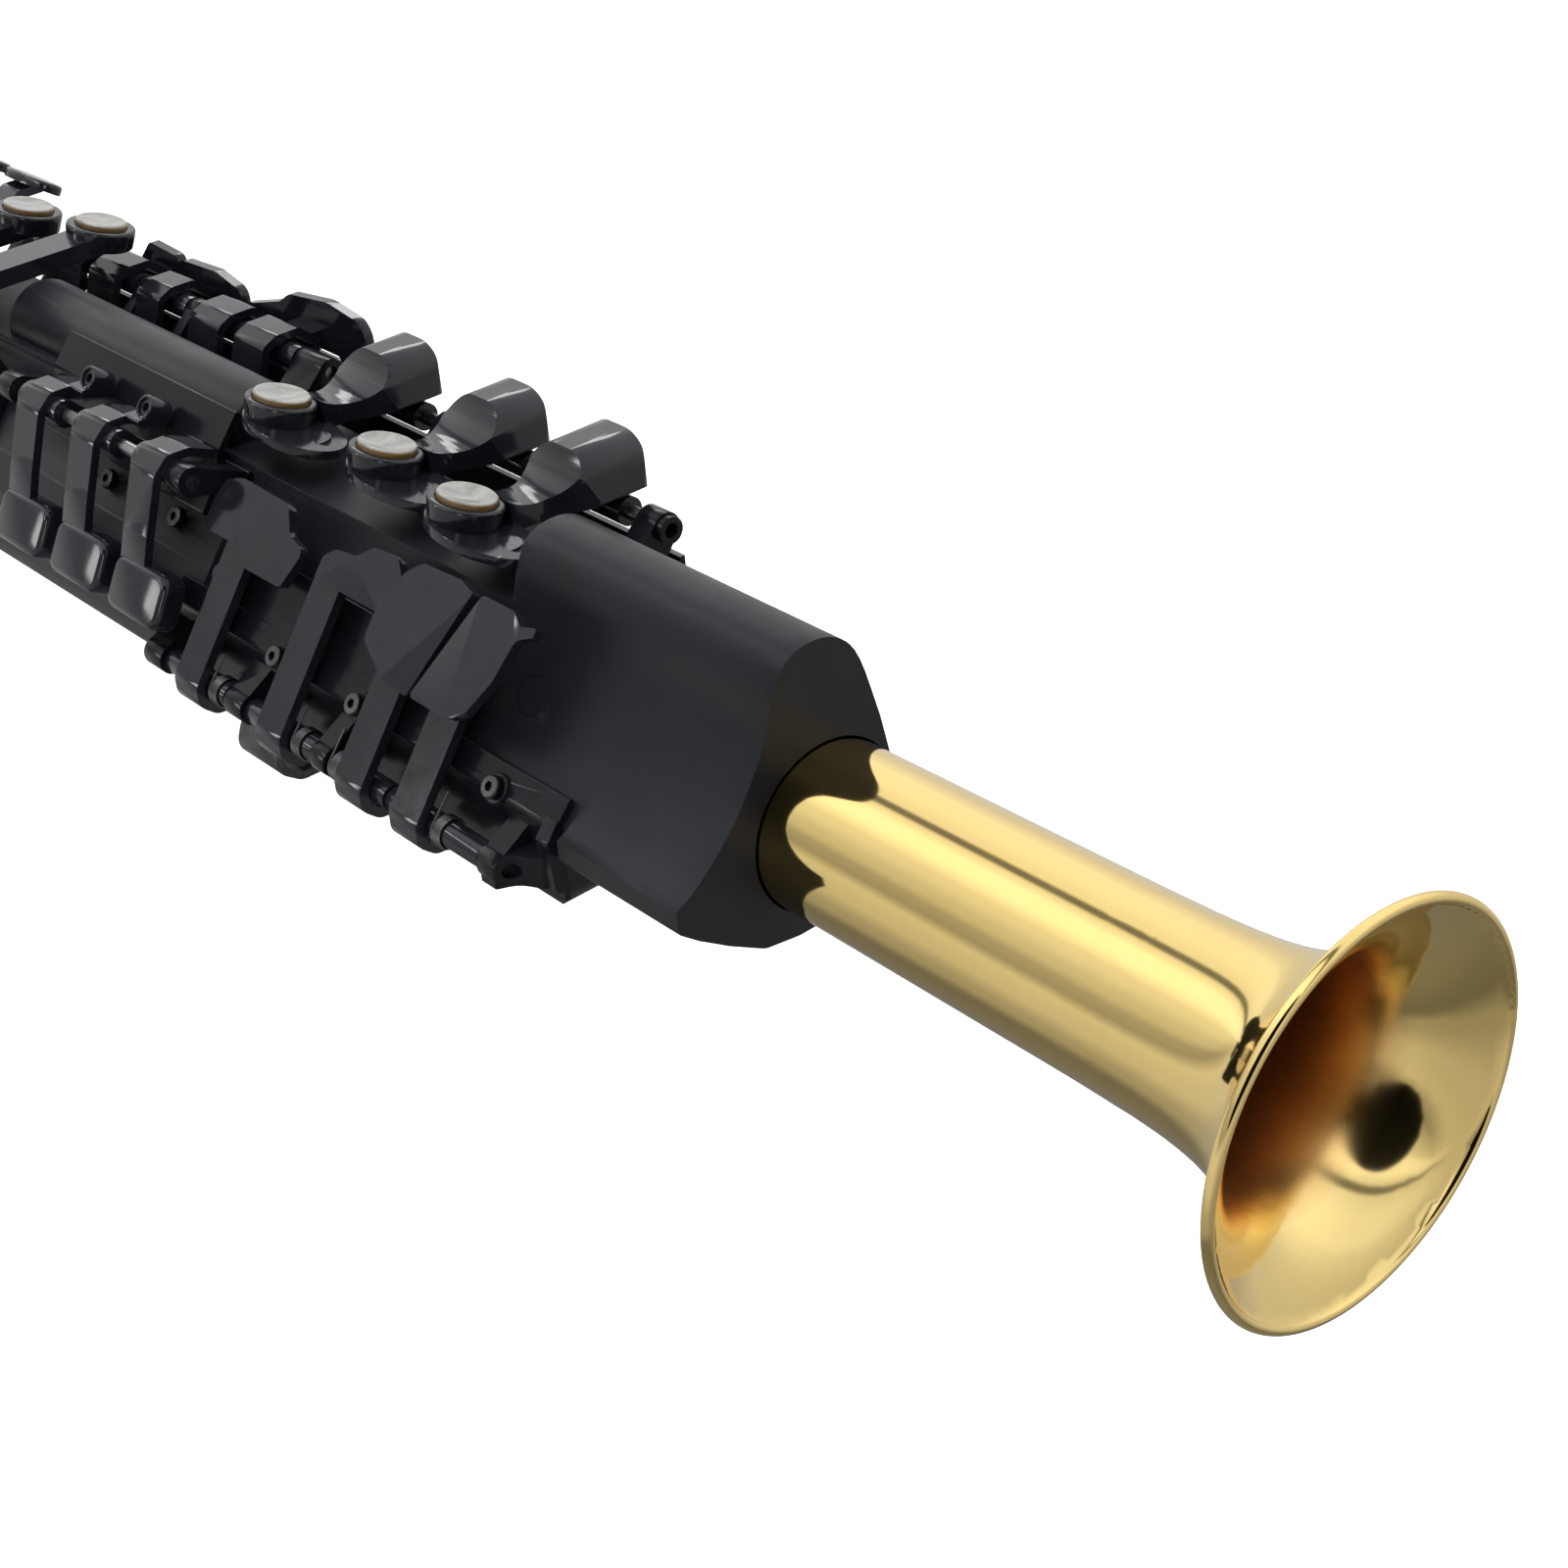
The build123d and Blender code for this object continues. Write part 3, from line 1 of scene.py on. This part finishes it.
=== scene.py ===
"""Looks for the straight electronic saxophone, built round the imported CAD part."""
import bpy
import json
import math
from mathutils import Matrix, Vector


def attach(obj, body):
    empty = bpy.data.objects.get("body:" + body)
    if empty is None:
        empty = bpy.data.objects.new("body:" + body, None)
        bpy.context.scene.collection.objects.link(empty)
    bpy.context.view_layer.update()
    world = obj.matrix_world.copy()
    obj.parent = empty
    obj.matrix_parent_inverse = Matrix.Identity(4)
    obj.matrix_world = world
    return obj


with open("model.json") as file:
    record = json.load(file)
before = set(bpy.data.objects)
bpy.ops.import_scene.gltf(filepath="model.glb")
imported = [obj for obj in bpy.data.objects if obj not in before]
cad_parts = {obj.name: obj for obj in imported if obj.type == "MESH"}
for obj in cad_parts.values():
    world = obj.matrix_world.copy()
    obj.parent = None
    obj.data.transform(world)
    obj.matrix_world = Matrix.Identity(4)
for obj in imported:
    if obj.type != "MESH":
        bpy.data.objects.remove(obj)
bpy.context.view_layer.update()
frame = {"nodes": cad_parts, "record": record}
nodes = frame["nodes"]
node_slot = {row["node"]: row.get("material_slot", row["node"]) for row in frame["record"]["subparts"]}

# ---------------------------------------------------------------- camera
CAMERA_PLACE = Vector((0.2095, -0.2777, 0.2792))
CAMERA_RIGHT = Vector((0.6587, 0.7485, -0.0765))
CAMERA_UP = Vector((-0.3532, 0.3973, 0.8470))
CAMERA_BACK = Vector((0.6644, -0.5309, 0.5261))
LENS_MM = 64.1
SENSOR_MM = 36.0
CLIP_NEAR = 0.01
CLIP_FAR = 50.0
camera_data = bpy.data.cameras.new("camera")
camera_data.lens = LENS_MM
camera_data.sensor_width = SENSOR_MM
camera_data.clip_start = CLIP_NEAR
camera_data.clip_end = CLIP_FAR
camera = bpy.data.objects.new("camera", camera_data)
bpy.context.scene.collection.objects.link(camera)
turn = Matrix((CAMERA_RIGHT, CAMERA_UP, CAMERA_BACK)).transposed().to_4x4()
camera.matrix_world = Matrix.Translation(CAMERA_PLACE) @ turn
bpy.context.scene.camera = camera

# ---------------------------------------------------------------- world, lights and floor
# Each table pairs a place on a direction's scale with the brightness there.
CANOPY = [(-3.0, 0.34), (-1.5, 0.52), (-0.75, 0.68), (-0.30, 1.00), (-0.10, 1.00), (0.10, 0.75),
          (0.19, 0.16),
          (0.27, 0.16), (0.36, 0.74), (0.9, 0.84), (1.8, 0.84), (3.0, 0.74)]
BELOW_HORIZON = [(-1.0, 0.16), (-0.74, 0.13), (-0.6, 0.28), (-0.3, 0.46), (0.0, 0.52)]
ABOVE_HORIZON = [(0.0, 0.75), (0.3, 0.95), (1.0, 1.0)]
FRONT_FADE = [(-1.0, 1.0), (0.0, 1.0), (0.35, 1.0), (1.0, 0.8)]
DARK_ROOM = [(0.80, 1.0), (0.865, 1.0), (0.88, 0.01), (1.0, 0.01)]
ROOM_DIRECTION = (0.664, -0.531, 0.526)
CANOPY_REACH = 3.0
LOWEST_SLOPE_HEIGHT = 0.08
HORIZON_LOW = -0.06
HORIZON_HIGH = 0.10
WORLD_STRENGTH = 1.55
scene = bpy.context.scene
scene.view_settings.view_transform = "Standard"
scene.view_settings.look = "None"
world = bpy.data.worlds.new("studio")
world.use_nodes = True
scene.world = world
sky = world.node_tree


def sky_node(kind, inputs=(), **settings):
    """Add a node to the world and wire or fill its inputs."""
    made = sky.nodes.new(kind)
    for name, value in settings.items():
        setattr(made, name, value)
    for socket, value in dict(inputs).items():
        if isinstance(value, bpy.types.NodeSocket):
            sky.links.new(value, made.inputs[socket])
        else:
            made.inputs[socket].default_value = value
    return made


def sky_math(operation, first, second):
    return sky_node("ShaderNodeMath", {0: first, 1: second}, operation=operation).outputs[0]


def sky_curve(value, low, high, stops):
    """Brightness read from a value between low and high through smooth stops."""
    factor = sky_node("ShaderNodeMapRange", {"Value": value, "From Min": low,
                                             "From Max": high}).outputs["Result"]
    ramp = sky_node("ShaderNodeValToRGB", {"Fac": factor})
    ramp.color_ramp.interpolation = "EASE"
    elements = ramp.color_ramp.elements
    while len(elements) < len(stops):
        elements.new(0.5)
    for element, (place, level) in zip(elements, stops):
        element.position = (place - low) / (high - low)
        element.color = (level, level, level, 1.0)
    return ramp.outputs["Color"]


direction = sky_node("ShaderNodeTexCoord").outputs["Generated"]
parts = sky_node("ShaderNodeSeparateXYZ", {"Vector": direction}).outputs
along, across, height = parts["X"], parts["Y"], parts["Z"]
side_slope = sky_math("DIVIDE", across, sky_math("MAXIMUM", height, LOWEST_SLOPE_HEIGHT))
canopy = sky_curve(side_slope, -CANOPY_REACH, CANOPY_REACH, CANOPY)
below = sky_curve(height, -1.0, 0.0, BELOW_HORIZON)
above = sky_math("MULTIPLY", canopy, sky_curve(height, 0.0, 1.0, ABOVE_HORIZON))
is_above = sky_node("ShaderNodeMapRange", {"Value": height, "From Min": HORIZON_LOW,
                                           "From Max": HORIZON_HIGH}).outputs["Result"]
blend = sky_node("ShaderNodeMix", {0: is_above, 2: below, 3: above}, data_type="FLOAT").outputs[0]
front = sky_curve(along, -1.0, 1.0, FRONT_FADE)
toward_room = sky_node("ShaderNodeVectorMath", {0: direction, 1: ROOM_DIRECTION},
                       operation="DOT_PRODUCT").outputs["Value"]
dark_room = sky_curve(toward_room, DARK_ROOM[0][0], DARK_ROOM[-1][0], DARK_ROOM)
level = sky_math("MULTIPLY", sky_math("MULTIPLY", blend, front), dark_room)
background = sky.nodes["Background"]
sky.links.new(level, background.inputs["Color"])
background.inputs["Strength"].default_value = WORLD_STRENGTH


def softbox(name, place, aim, width, height, power):
    """Rectangular area light at a place, pointing at a target."""
    data = bpy.data.lights.new(name, "AREA")
    data.shape = "RECTANGLE"
    data.size = width
    data.size_y = height
    data.energy = power
    light = bpy.data.objects.new(name, data)
    light.location = place
    light.rotation_euler = (Vector(aim) - Vector(place)).to_track_quat("-Z", "Y").to_euler()
    scene.collection.objects.link(light)
    return light


# Each light has a place, the point it faces, its width and height, and its power.
MIDDLE = (-0.2, 0.0, 0.0)
KEYWORK = (-0.25, 0.0, 0.0)
SIDE_KEYS = (-0.33, 0.0, 0.0)
WIDE_LIGHTS = {"overhead": ((-0.5, 0.5, 1.9), MIDDLE, 2.4, 2.4, 60.0),
               "key_side": ((0.9, -1.3, 1.3), MIDDLE, 1.4, 0.9, 12.0)}
ACCENT_LIGHTS = {"far_window": ((-1.45, 0.80, 1.00), KEYWORK, 0.9, 0.35, 5.5),
                 "near_strip": ((-0.75, -1.15, 0.95), KEYWORK, 1.3, 0.10, 5.0),
                 "low_window": ((-1.24, -1.17, 0.34), SIDE_KEYS, 0.30, 0.30, 2.2),
                 "right_strip": ((0.90, -1.25, 0.55), KEYWORK, 0.35, 0.90, 4.5)}
DARK_SLOTS = ("key", "bracket", "steel", "dark_steel", "ebonite", "neck")
for name, row in WIDE_LIGHTS.items():
    softbox(name, *row).visible_glossy = False

dark_pieces = bpy.data.collections.new("dark_pieces")
for name, piece in nodes.items():
    if node_slot[name] in DARK_SLOTS:
        dark_pieces.objects.link(piece)
for name, row in ACCENT_LIGHTS.items():
    softbox(name, *row).light_linking.receiver_collection = dark_pieces

FLOOR_Z = -0.30
floor_mesh = bpy.data.meshes.new("floor")
REACH = 6.0
floor_mesh.from_pydata([(-REACH, -REACH, FLOOR_Z), (REACH, -REACH, FLOOR_Z), (REACH, REACH, FLOOR_Z),
                        (-REACH, REACH, FLOOR_Z)], [], [(0, 1, 2, 3)])
floor = bpy.data.objects.new("floor", floor_mesh)
floor.visible_glossy = False
scene.collection.objects.link(floor)

# ---------------------------------------------------------------- materials


class Maker:
    """Small helper that wires nodes of one material."""

    def __init__(self, name, base, roughness, metallic=0.0, **sockets):
        self.material = bpy.data.materials.new(name)
        self.material.use_nodes = True
        self.tree = self.material.node_tree
        self.shader = self.tree.nodes["Principled BSDF"]
        self.shader.inputs["Base Color"].default_value = (*base, 1.0)
        self.shader.inputs["Roughness"].default_value = roughness
        self.shader.inputs["Metallic"].default_value = metallic
        for socket, value in sockets.items():
            self.shader.inputs[socket.replace("_", " ")].default_value = value
        self.place = self.tree.nodes.new("ShaderNodeTexCoord").outputs["Object"]

    def node(self, kind, inputs=(), **settings):
        made = self.tree.nodes.new(kind)
        for name, value in settings.items():
            setattr(made, name, value)
        for socket, value in dict(inputs).items():
            if isinstance(value, bpy.types.NodeSocket):
                self.tree.links.new(value, made.inputs[socket])
            else:
                made.inputs[socket].default_value = value
        return made

    def stretched(self, scale):
        return self.node("ShaderNodeMapping", {"Vector": self.place, "Scale": scale}).outputs["Vector"]

    def noise(self, scale, detail=3.0, roughness=0.5, stretch=(1, 1, 1)):
        vector = self.stretched(stretch)
        return self.node("ShaderNodeTexNoise", {"Vector": vector, "Scale": scale, "Detail": detail,
                                                "Roughness": roughness}).outputs["Fac"]

    def ramp(self, factor, stops):
        made = self.node("ShaderNodeValToRGB", {"Fac": factor})
        elements = made.color_ramp.elements
        while len(elements) < len(stops):
            elements.new(0.5)
        for element, (position, colour) in zip(elements, stops):
            element.position = position
            element.color = (*colour, 1.0)
        return made.outputs["Color"]

    def spread(self, factor, low, high):
        return self.node("ShaderNodeMapRange", {"Value": factor, "From Min": 0.3, "From Max": 0.7,
                                                "To Min": low, "To Max": high}).outputs["Result"]

    def colour(self, socket):
        self.tree.links.new(socket, self.shader.inputs["Base Color"])

    def rough(self, socket):
        self.tree.links.new(socket, self.shader.inputs["Roughness"])

    def bump(self, *layers):
        """Each layer is a height socket, a strength and a depth in metres."""
        normal = None
        for height, strength, depth in layers:
            inputs = {"Height": height, "Strength": strength, "Distance": depth}
            if normal is not None:
                inputs["Normal"] = normal
            normal = self.node("ShaderNodeBump", inputs).outputs["Normal"]
        self.tree.links.new(normal, self.shader.inputs["Normal"])


def grey(low, high):
    """Two ramp stops for a faint change of a dark neutral colour."""
    return [(0.35, low), (0.65, high)]


def shell_plastic():
    m = Maker("satin_charcoal", (0.0076, 0.0082, 0.0108), 0.40, Specular_IOR_Level=0.25)
    m.colour(m.ramp(m.noise(35.0, 4.0), grey((0.0066, 0.0072, 0.0096), (0.0088, 0.0095, 0.0124))))
    m.rough(m.spread(m.noise(60.0, 5.0, 0.6), 0.35, 0.43))
    m.bump((m.noise(4200.0, 2.0), 0.13, 0.00004), (m.noise(1500.0, 2.0), 0.05, 0.00006))
    return m.material


def key_plastic(name="gloss_black", crown=None):
    """Polished black moulding. A crown is a touch face's centre, reach and doming."""
    m = Maker(name, (0.0060, 0.0066, 0.0092), 0.12, Specular_IOR_Level=0.40)
    m.colour(m.ramp(m.noise(90.0, 3.0), grey((0.0052, 0.0057, 0.0080), (0.0074, 0.0080, 0.0110))))
    m.rough(m.spread(m.noise(260.0, 6.0, 0.65), 0.09, 0.15))
    layers = [(m.noise(60.0, 2.0), 0.03, 0.0003), (m.noise(2600.0, 2.0), 0.02, 0.00003)]
    if crown:
        centre, reach, doming = crown
        offset = m.node("ShaderNodeVectorMath", {0: m.place, 1: centre}, operation="SUBTRACT").outputs[0]
        square = m.node("ShaderNodeVectorMath", {0: offset, 1: offset},
                        operation="DOT_PRODUCT").outputs["Value"]
        limited = m.node("ShaderNodeMath", {0: square, 1: reach * reach}, operation="MINIMUM").outputs[0]
        layers.append((m.node("ShaderNodeMath", {0: limited, 1: -doming},
                              operation="MULTIPLY").outputs[0], 1.0, 1.0))
    m.bump(*layers)
    return m.material


SIDE_KEY_REACH = 0.015
SIDE_KEY_DOMING = 9.0
CROWNED_KEYS = {"side_key_e": ((-0.3045, -0.0435, 0.0048), SIDE_KEY_REACH, SIDE_KEY_DOMING),
                "side_key_c": ((-0.3308, -0.0435, 0.0048), SIDE_KEY_REACH, SIDE_KEY_DOMING),
                "side_key_b_flat": ((-0.3570, -0.0435, 0.0048), SIDE_KEY_REACH, SIDE_KEY_DOMING)}


def bracket_plastic():
    m = Maker("semi_gloss_black", (0.0040, 0.0044, 0.0060), 0.18, Specular_IOR_Level=0.16)
    m.colour(m.ramp(m.noise(70.0, 3.0), grey((0.0034, 0.0037, 0.0050), (0.0050, 0.0054, 0.0071))))
    m.rough(m.spread(m.noise(180.0, 6.0, 0.6), 0.15, 0.24))
    m.bump((m.noise(1900.0, 3.0), 0.05, 0.00004))
    return m.material


def gold_lacquer():
    m = Maker("gold_lacquer", (0.84, 0.64, 0.255), 0.09, 1.0)
    polished = m.ramp(m.noise(9.0, 3.0), [(0.3, (0.81, 0.605, 0.230)), (0.7, (0.87, 0.665, 0.275))])
    # Painted shade: faces whose normals point in towards the tube's axis, the inside of the bell and tube,
    # get a darker brown colour. These faces are also made rougher.
    split = m.node("ShaderNodeSeparateXYZ", {"Vector": m.place}).outputs
    across = m.node("ShaderNodeCombineXYZ", {"Y": split["Y"], "Z": split["Z"]}).outputs["Vector"]
    radial = m.node("ShaderNodeVectorMath", {0: across}, operation="NORMALIZE").outputs["Vector"]
    outward = m.node("ShaderNodeVectorMath", {0: m.node("ShaderNodeNewGeometry").outputs["Normal"],
                                              1: radial},
                     operation="DOT_PRODUCT").outputs["Value"]
    inner_shade_mask = m.node("ShaderNodeMapRange", {"Value": outward, "From Min": -0.80,
                                           "From Max": -0.96}).outputs["Result"]
    # Darker brown colour for those inside faces, painted shade with a random tone.
    inner = m.ramp(m.noise(40.0, 3.0, 0.5, (0.3, 1.0, 1.0)), [(0.35, (0.55, 0.29, 0.105)),
                                                              (0.65, (0.75, 0.44, 0.17))])
    mixed = m.node("ShaderNodeMix", {0: inner_shade_mask, 6: polished, 7: inner}, data_type="RGBA")
    m.colour(mixed.outputs[2])
    fine = m.spread(m.noise(75.0, 6.0, 0.65, (1.0, 0.12, 0.12)), 0.06, 0.10)
    m.rough(m.node("ShaderNodeMix", {0: inner_shade_mask, 2: fine, 3: 0.34}, data_type="FLOAT").outputs[0])
    m.bump((m.noise(2600.0, 2.0, 0.5), 0.01, 0.00002))
    return m.material


PEARL_FACE = (0.10, 0.26, 0.96)


def mother_of_pearl():
    m = Maker("mother_of_pearl", (0.20, 0.195, 0.18), 0.22, 0.0, Coat_Weight=0.3, Coat_Roughness=0.08)
    bent = m.node("ShaderNodeTexNoise", {"Vector": m.place, "Scale": 120.0, "Detail": 3.0}).outputs["Color"]
    moved = m.node("ShaderNodeVectorMath", {0: bent, 1: (0.012, 0.012, 0.012)},
                   operation="MULTIPLY").outputs[0]
    sum_place = m.node("ShaderNodeVectorMath", {0: m.place, 1: moved}, operation="ADD").outputs[0]
    veins = m.node("ShaderNodeTexWave", {"Vector": sum_place, "Scale": 60.0, "Distortion": 4.0,
                                         "Detail": 3.0,
                                         "Detail Scale": 2.0}, wave_type="BANDS").outputs["Fac"]
    top = m.ramp(veins, [(0.0, (0.125, 0.120, 0.108)), (0.4, (0.172, 0.168, 0.157)),
                         (0.7, (0.153, 0.155, 0.153)),
                         (1.0, (0.210, 0.202, 0.181))])
    facing = m.node("ShaderNodeVectorMath", {0: m.node("ShaderNodeNewGeometry").outputs["Normal"],
                                             1: PEARL_FACE}, operation="DOT_PRODUCT").outputs["Value"]
    on_top = m.node("ShaderNodeMapRange", {"Value": facing, "From Min": 0.45,
                                           "From Max": 0.88}).outputs["Result"]
    rim = m.node("ShaderNodeMix", {0: on_top, 6: (0.10, 0.058, 0.018, 1.0), 7: top}, data_type="RGBA")
    m.colour(rim.outputs[2])
    m.rough(m.spread(veins, 0.18, 0.28))
    m.bump((veins, 0.01, 0.0001))
    return m.material


def metal(name, low, high, rough_low, rough_high, stretch):
    m = Maker(name, low, rough_low, 1.0)
    m.colour(m.ramp(m.noise(220.0, 4.0), grey(low, high)))
    m.rough(m.spread(m.noise(900.0, 5.0, 0.6, stretch), rough_low, rough_high))
    m.bump((m.noise(1400.0, 3.0, 0.6, stretch), 0.08, 0.00004))
    return m.material


def cork():
    m = Maker("cork", (0.5, 0.34, 0.2), 0.85)
    cells = m.node("ShaderNodeTexVoronoi", {"Vector": m.place, "Scale": 900.0,
                                            "Randomness": 1.0}).outputs["Distance"]
    flecks = m.noise(300.0, 6.0, 0.7)
    mixed = m.node("ShaderNodeMath", {0: cells, 1: flecks}, operation="MULTIPLY").outputs[0]
    m.colour(m.ramp(mixed, [(0.05, (0.20, 0.11, 0.05)), (0.2, (0.46, 0.30, 0.16)),
                            (0.5, (0.62, 0.45, 0.27))]))
    m.bump((mixed, 0.5, 0.0002))
    return m.material


MOUTHPIECE_BEND = math.radians(17)


def cane():
    m = Maker("cane", (0.7, 0.55, 0.3), 0.55)
    turned = m.node("ShaderNodeMapping", {"Vector": m.place, "Rotation": (0.0, MOUTHPIECE_BEND, 0.0),
                                          "Scale": (30.0, 1500.0, 1500.0)}).outputs["Vector"]
    fibre = m.node("ShaderNodeTexNoise", {"Vector": turned, "Scale": 1.0, "Detail": 4.0}).outputs["Fac"]
    m.colour(m.ramp(fibre, [(0.3, (0.50, 0.36, 0.16)), (0.55, (0.70, 0.55, 0.30)),
                            (0.75, (0.80, 0.67, 0.41))]))
    m.rough(m.spread(fibre, 0.45, 0.65))
    m.bump((fibre, 0.25, 0.0001))
    return m.material


def ebonite():
    m = Maker("ebonite", (0.008, 0.0078, 0.0078), 0.11, Coat_Weight=0.4, Coat_Roughness=0.04)
    m.colour(m.ramp(m.noise(60.0, 4.0), grey((0.007, 0.0068, 0.0068), (0.011, 0.0105, 0.010))))
    m.rough(m.spread(m.noise(150.0, 6.0, 0.65), 0.09, 0.2))
    m.bump((m.noise(900.0, 2.0), 0.03, 0.00004))
    return m.material


def rubber():
    m = Maker("soft_rubber", (0.02, 0.02, 0.021), 0.7)
    m.colour(m.ramp(m.noise(200.0, 4.0), grey((0.016, 0.016, 0.017), (0.026, 0.026, 0.028))))
    m.rough(m.spread(m.noise(500.0, 4.0), 0.6, 0.8))
    m.bump((m.noise(2200.0, 3.0), 0.3, 0.00006))
    return m.material


def circuit_board():
    m = Maker("circuit_board", (0.02, 0.12, 0.05), 0.35)
    tracks = m.node("ShaderNodeTexBrick", {"Vector": m.stretched((260, 260, 260)), "Scale": 1.0,
                                           "Mortar Size": 0.03}).outputs["Fac"]
    m.colour(m.ramp(tracks, [(0.0, (0.015, 0.10, 0.045)), (1.0, (0.05, 0.22, 0.10))]))
    m.rough(m.spread(m.noise(400.0), 0.3, 0.45))
    return m.material


finishes = {
    "brass": gold_lacquer(),
    "shell": shell_plastic(),
    "bracket": bracket_plastic(),
    "key": key_plastic(),
    "pearl": mother_of_pearl(),
    "steel": metal("dark_satin_steel", (0.16, 0.16, 0.165), (0.24, 0.24, 0.245), 0.22, 0.38, (0.1, 1, 1)),
    "dark_steel": metal("black_steel", (0.05, 0.05, 0.052), (0.085, 0.085, 0.088), 0.28, 0.42, (1, 1, 1)),
    "cell": metal("cell_wrap", (0.2, 0.2, 0.21), (0.3, 0.3, 0.31), 0.3, 0.4, (0.2, 1, 1)),
    "cork": cork(),
    "cane": cane(),
    "ebonite": ebonite(),
    "rest": rubber(),
    "board": circuit_board(),
}
finishes["cover"] = finishes["shell"]
finishes["inner"] = finishes["bracket"]
finishes["neck"] = finishes["ebonite"]
finishes["jack"] = finishes["key"]
finishes["button"] = finishes["rest"]

floor_maker = Maker("pale_floor", (0.9, 0.9, 0.9), 0.9)
floor_maker.colour(floor_maker.ramp(floor_maker.noise(3.0, 2.0), grey((0.90, 0.90, 0.90), (0.915, 0.915,
                                                                                           0.915))))
floor_mesh.materials.append(floor_maker.material)

# ---------------------------------------------------------------- edges of the CAD pieces
EDGE_WIDTH = {"shell": 0.0008, "cover": 0.0006, "key": 0.00045, "bracket": 0.00045, "brass": 0.00015}
OTHER_EDGE_WIDTH = 0.0002
EDGE_SEGMENTS = 3
SHARP_EDGE = math.radians(32)
WELD_DISTANCE = 0.000002
for name, piece in nodes.items():
    slot = node_slot[name]
    piece.data.materials.clear()
    if name in CROWNED_KEYS:
        piece.data.materials.append(key_plastic("gloss_black_" + name, CROWNED_KEYS[name]))
    else:
        piece.data.materials.append(finishes[slot])
    weld = piece.modifiers.new("weld", "WELD")
    weld.merge_threshold = WELD_DISTANCE
    bevel = piece.modifiers.new("soft_edges", "BEVEL")
    bevel.width = EDGE_WIDTH.get(slot, OTHER_EDGE_WIDTH)
    bevel.segments = EDGE_SEGMENTS
    bevel.limit_method = "ANGLE"
    bevel.angle_limit = SHARP_EDGE
    bevel.harden_normals = True
    bevel.miter_outer = "MITER_ARC"

# ---------------------------------------------------------------- key springs
SPRING_WIRE = 0.00028
LEG_STEPS = 6
STEPS_PER_TURN = 24


def coil_spring(name, rod, radius, start, end, turns, leg):
    """Coil round a hinge barrel from x start to end, with one leg that runs out to y, z at leg."""
    steps = int(turns * STEPS_PER_TURN)
    points = []
    lead = math.atan2(leg[1] - rod[1], leg[0] - rod[0]) + math.pi / 2
    for index in range(steps + 1):
        angle = lead + 2 * math.pi * turns * index / steps
        points.append((start + (end - start) * index / steps, rod[0] + radius * math.cos(angle),
                       rod[1] + radius * math.sin(angle)))
    first = points[0]
    out = [(first[0], first[1] + (leg[0] - rod[0]) * share, first[2] + (leg[1] - rod[1]) * share)
           for share in [1 - step / LEG_STEPS for step in range(LEG_STEPS)]]
    data = bpy.data.curves.new(name, "CURVE")
    data.dimensions = "3D"
    data.bevel_depth = SPRING_WIRE
    data.bevel_resolution = 3
    line = data.splines.new("POLY")
    line.points.add(len(out + points) - 1)
    for point, place in zip(line.points, out + points):
        point.co = (*place, 1.0)
    data.materials.append(finishes["steel"])
    spring = bpy.data.objects.new(name, data)
    scene.collection.objects.link(spring)
    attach(spring, "instrument")


LOW_ROD = (-0.0410, -0.0106)
LOW_LEG = (-0.0362, -0.0050)
SIDE_ROD = (-0.0278, 0.0273)
SIDE_LEG = (-0.0225, 0.0205)
for index, x in enumerate((-0.2768, -0.2442, -0.2302, -0.1940)):
    coil_spring(f"lever_spring_{index}", LOW_ROD, 0.00325, x, x + 0.0028, 4.25, LOW_LEG)
for index, x in enumerate((-0.3168, -0.3433, -0.3688)):
    coil_spring(f"side_spring_{index}", SIDE_ROD, 0.00375, x, x + 0.0019, 2.75, SIDE_LEG)
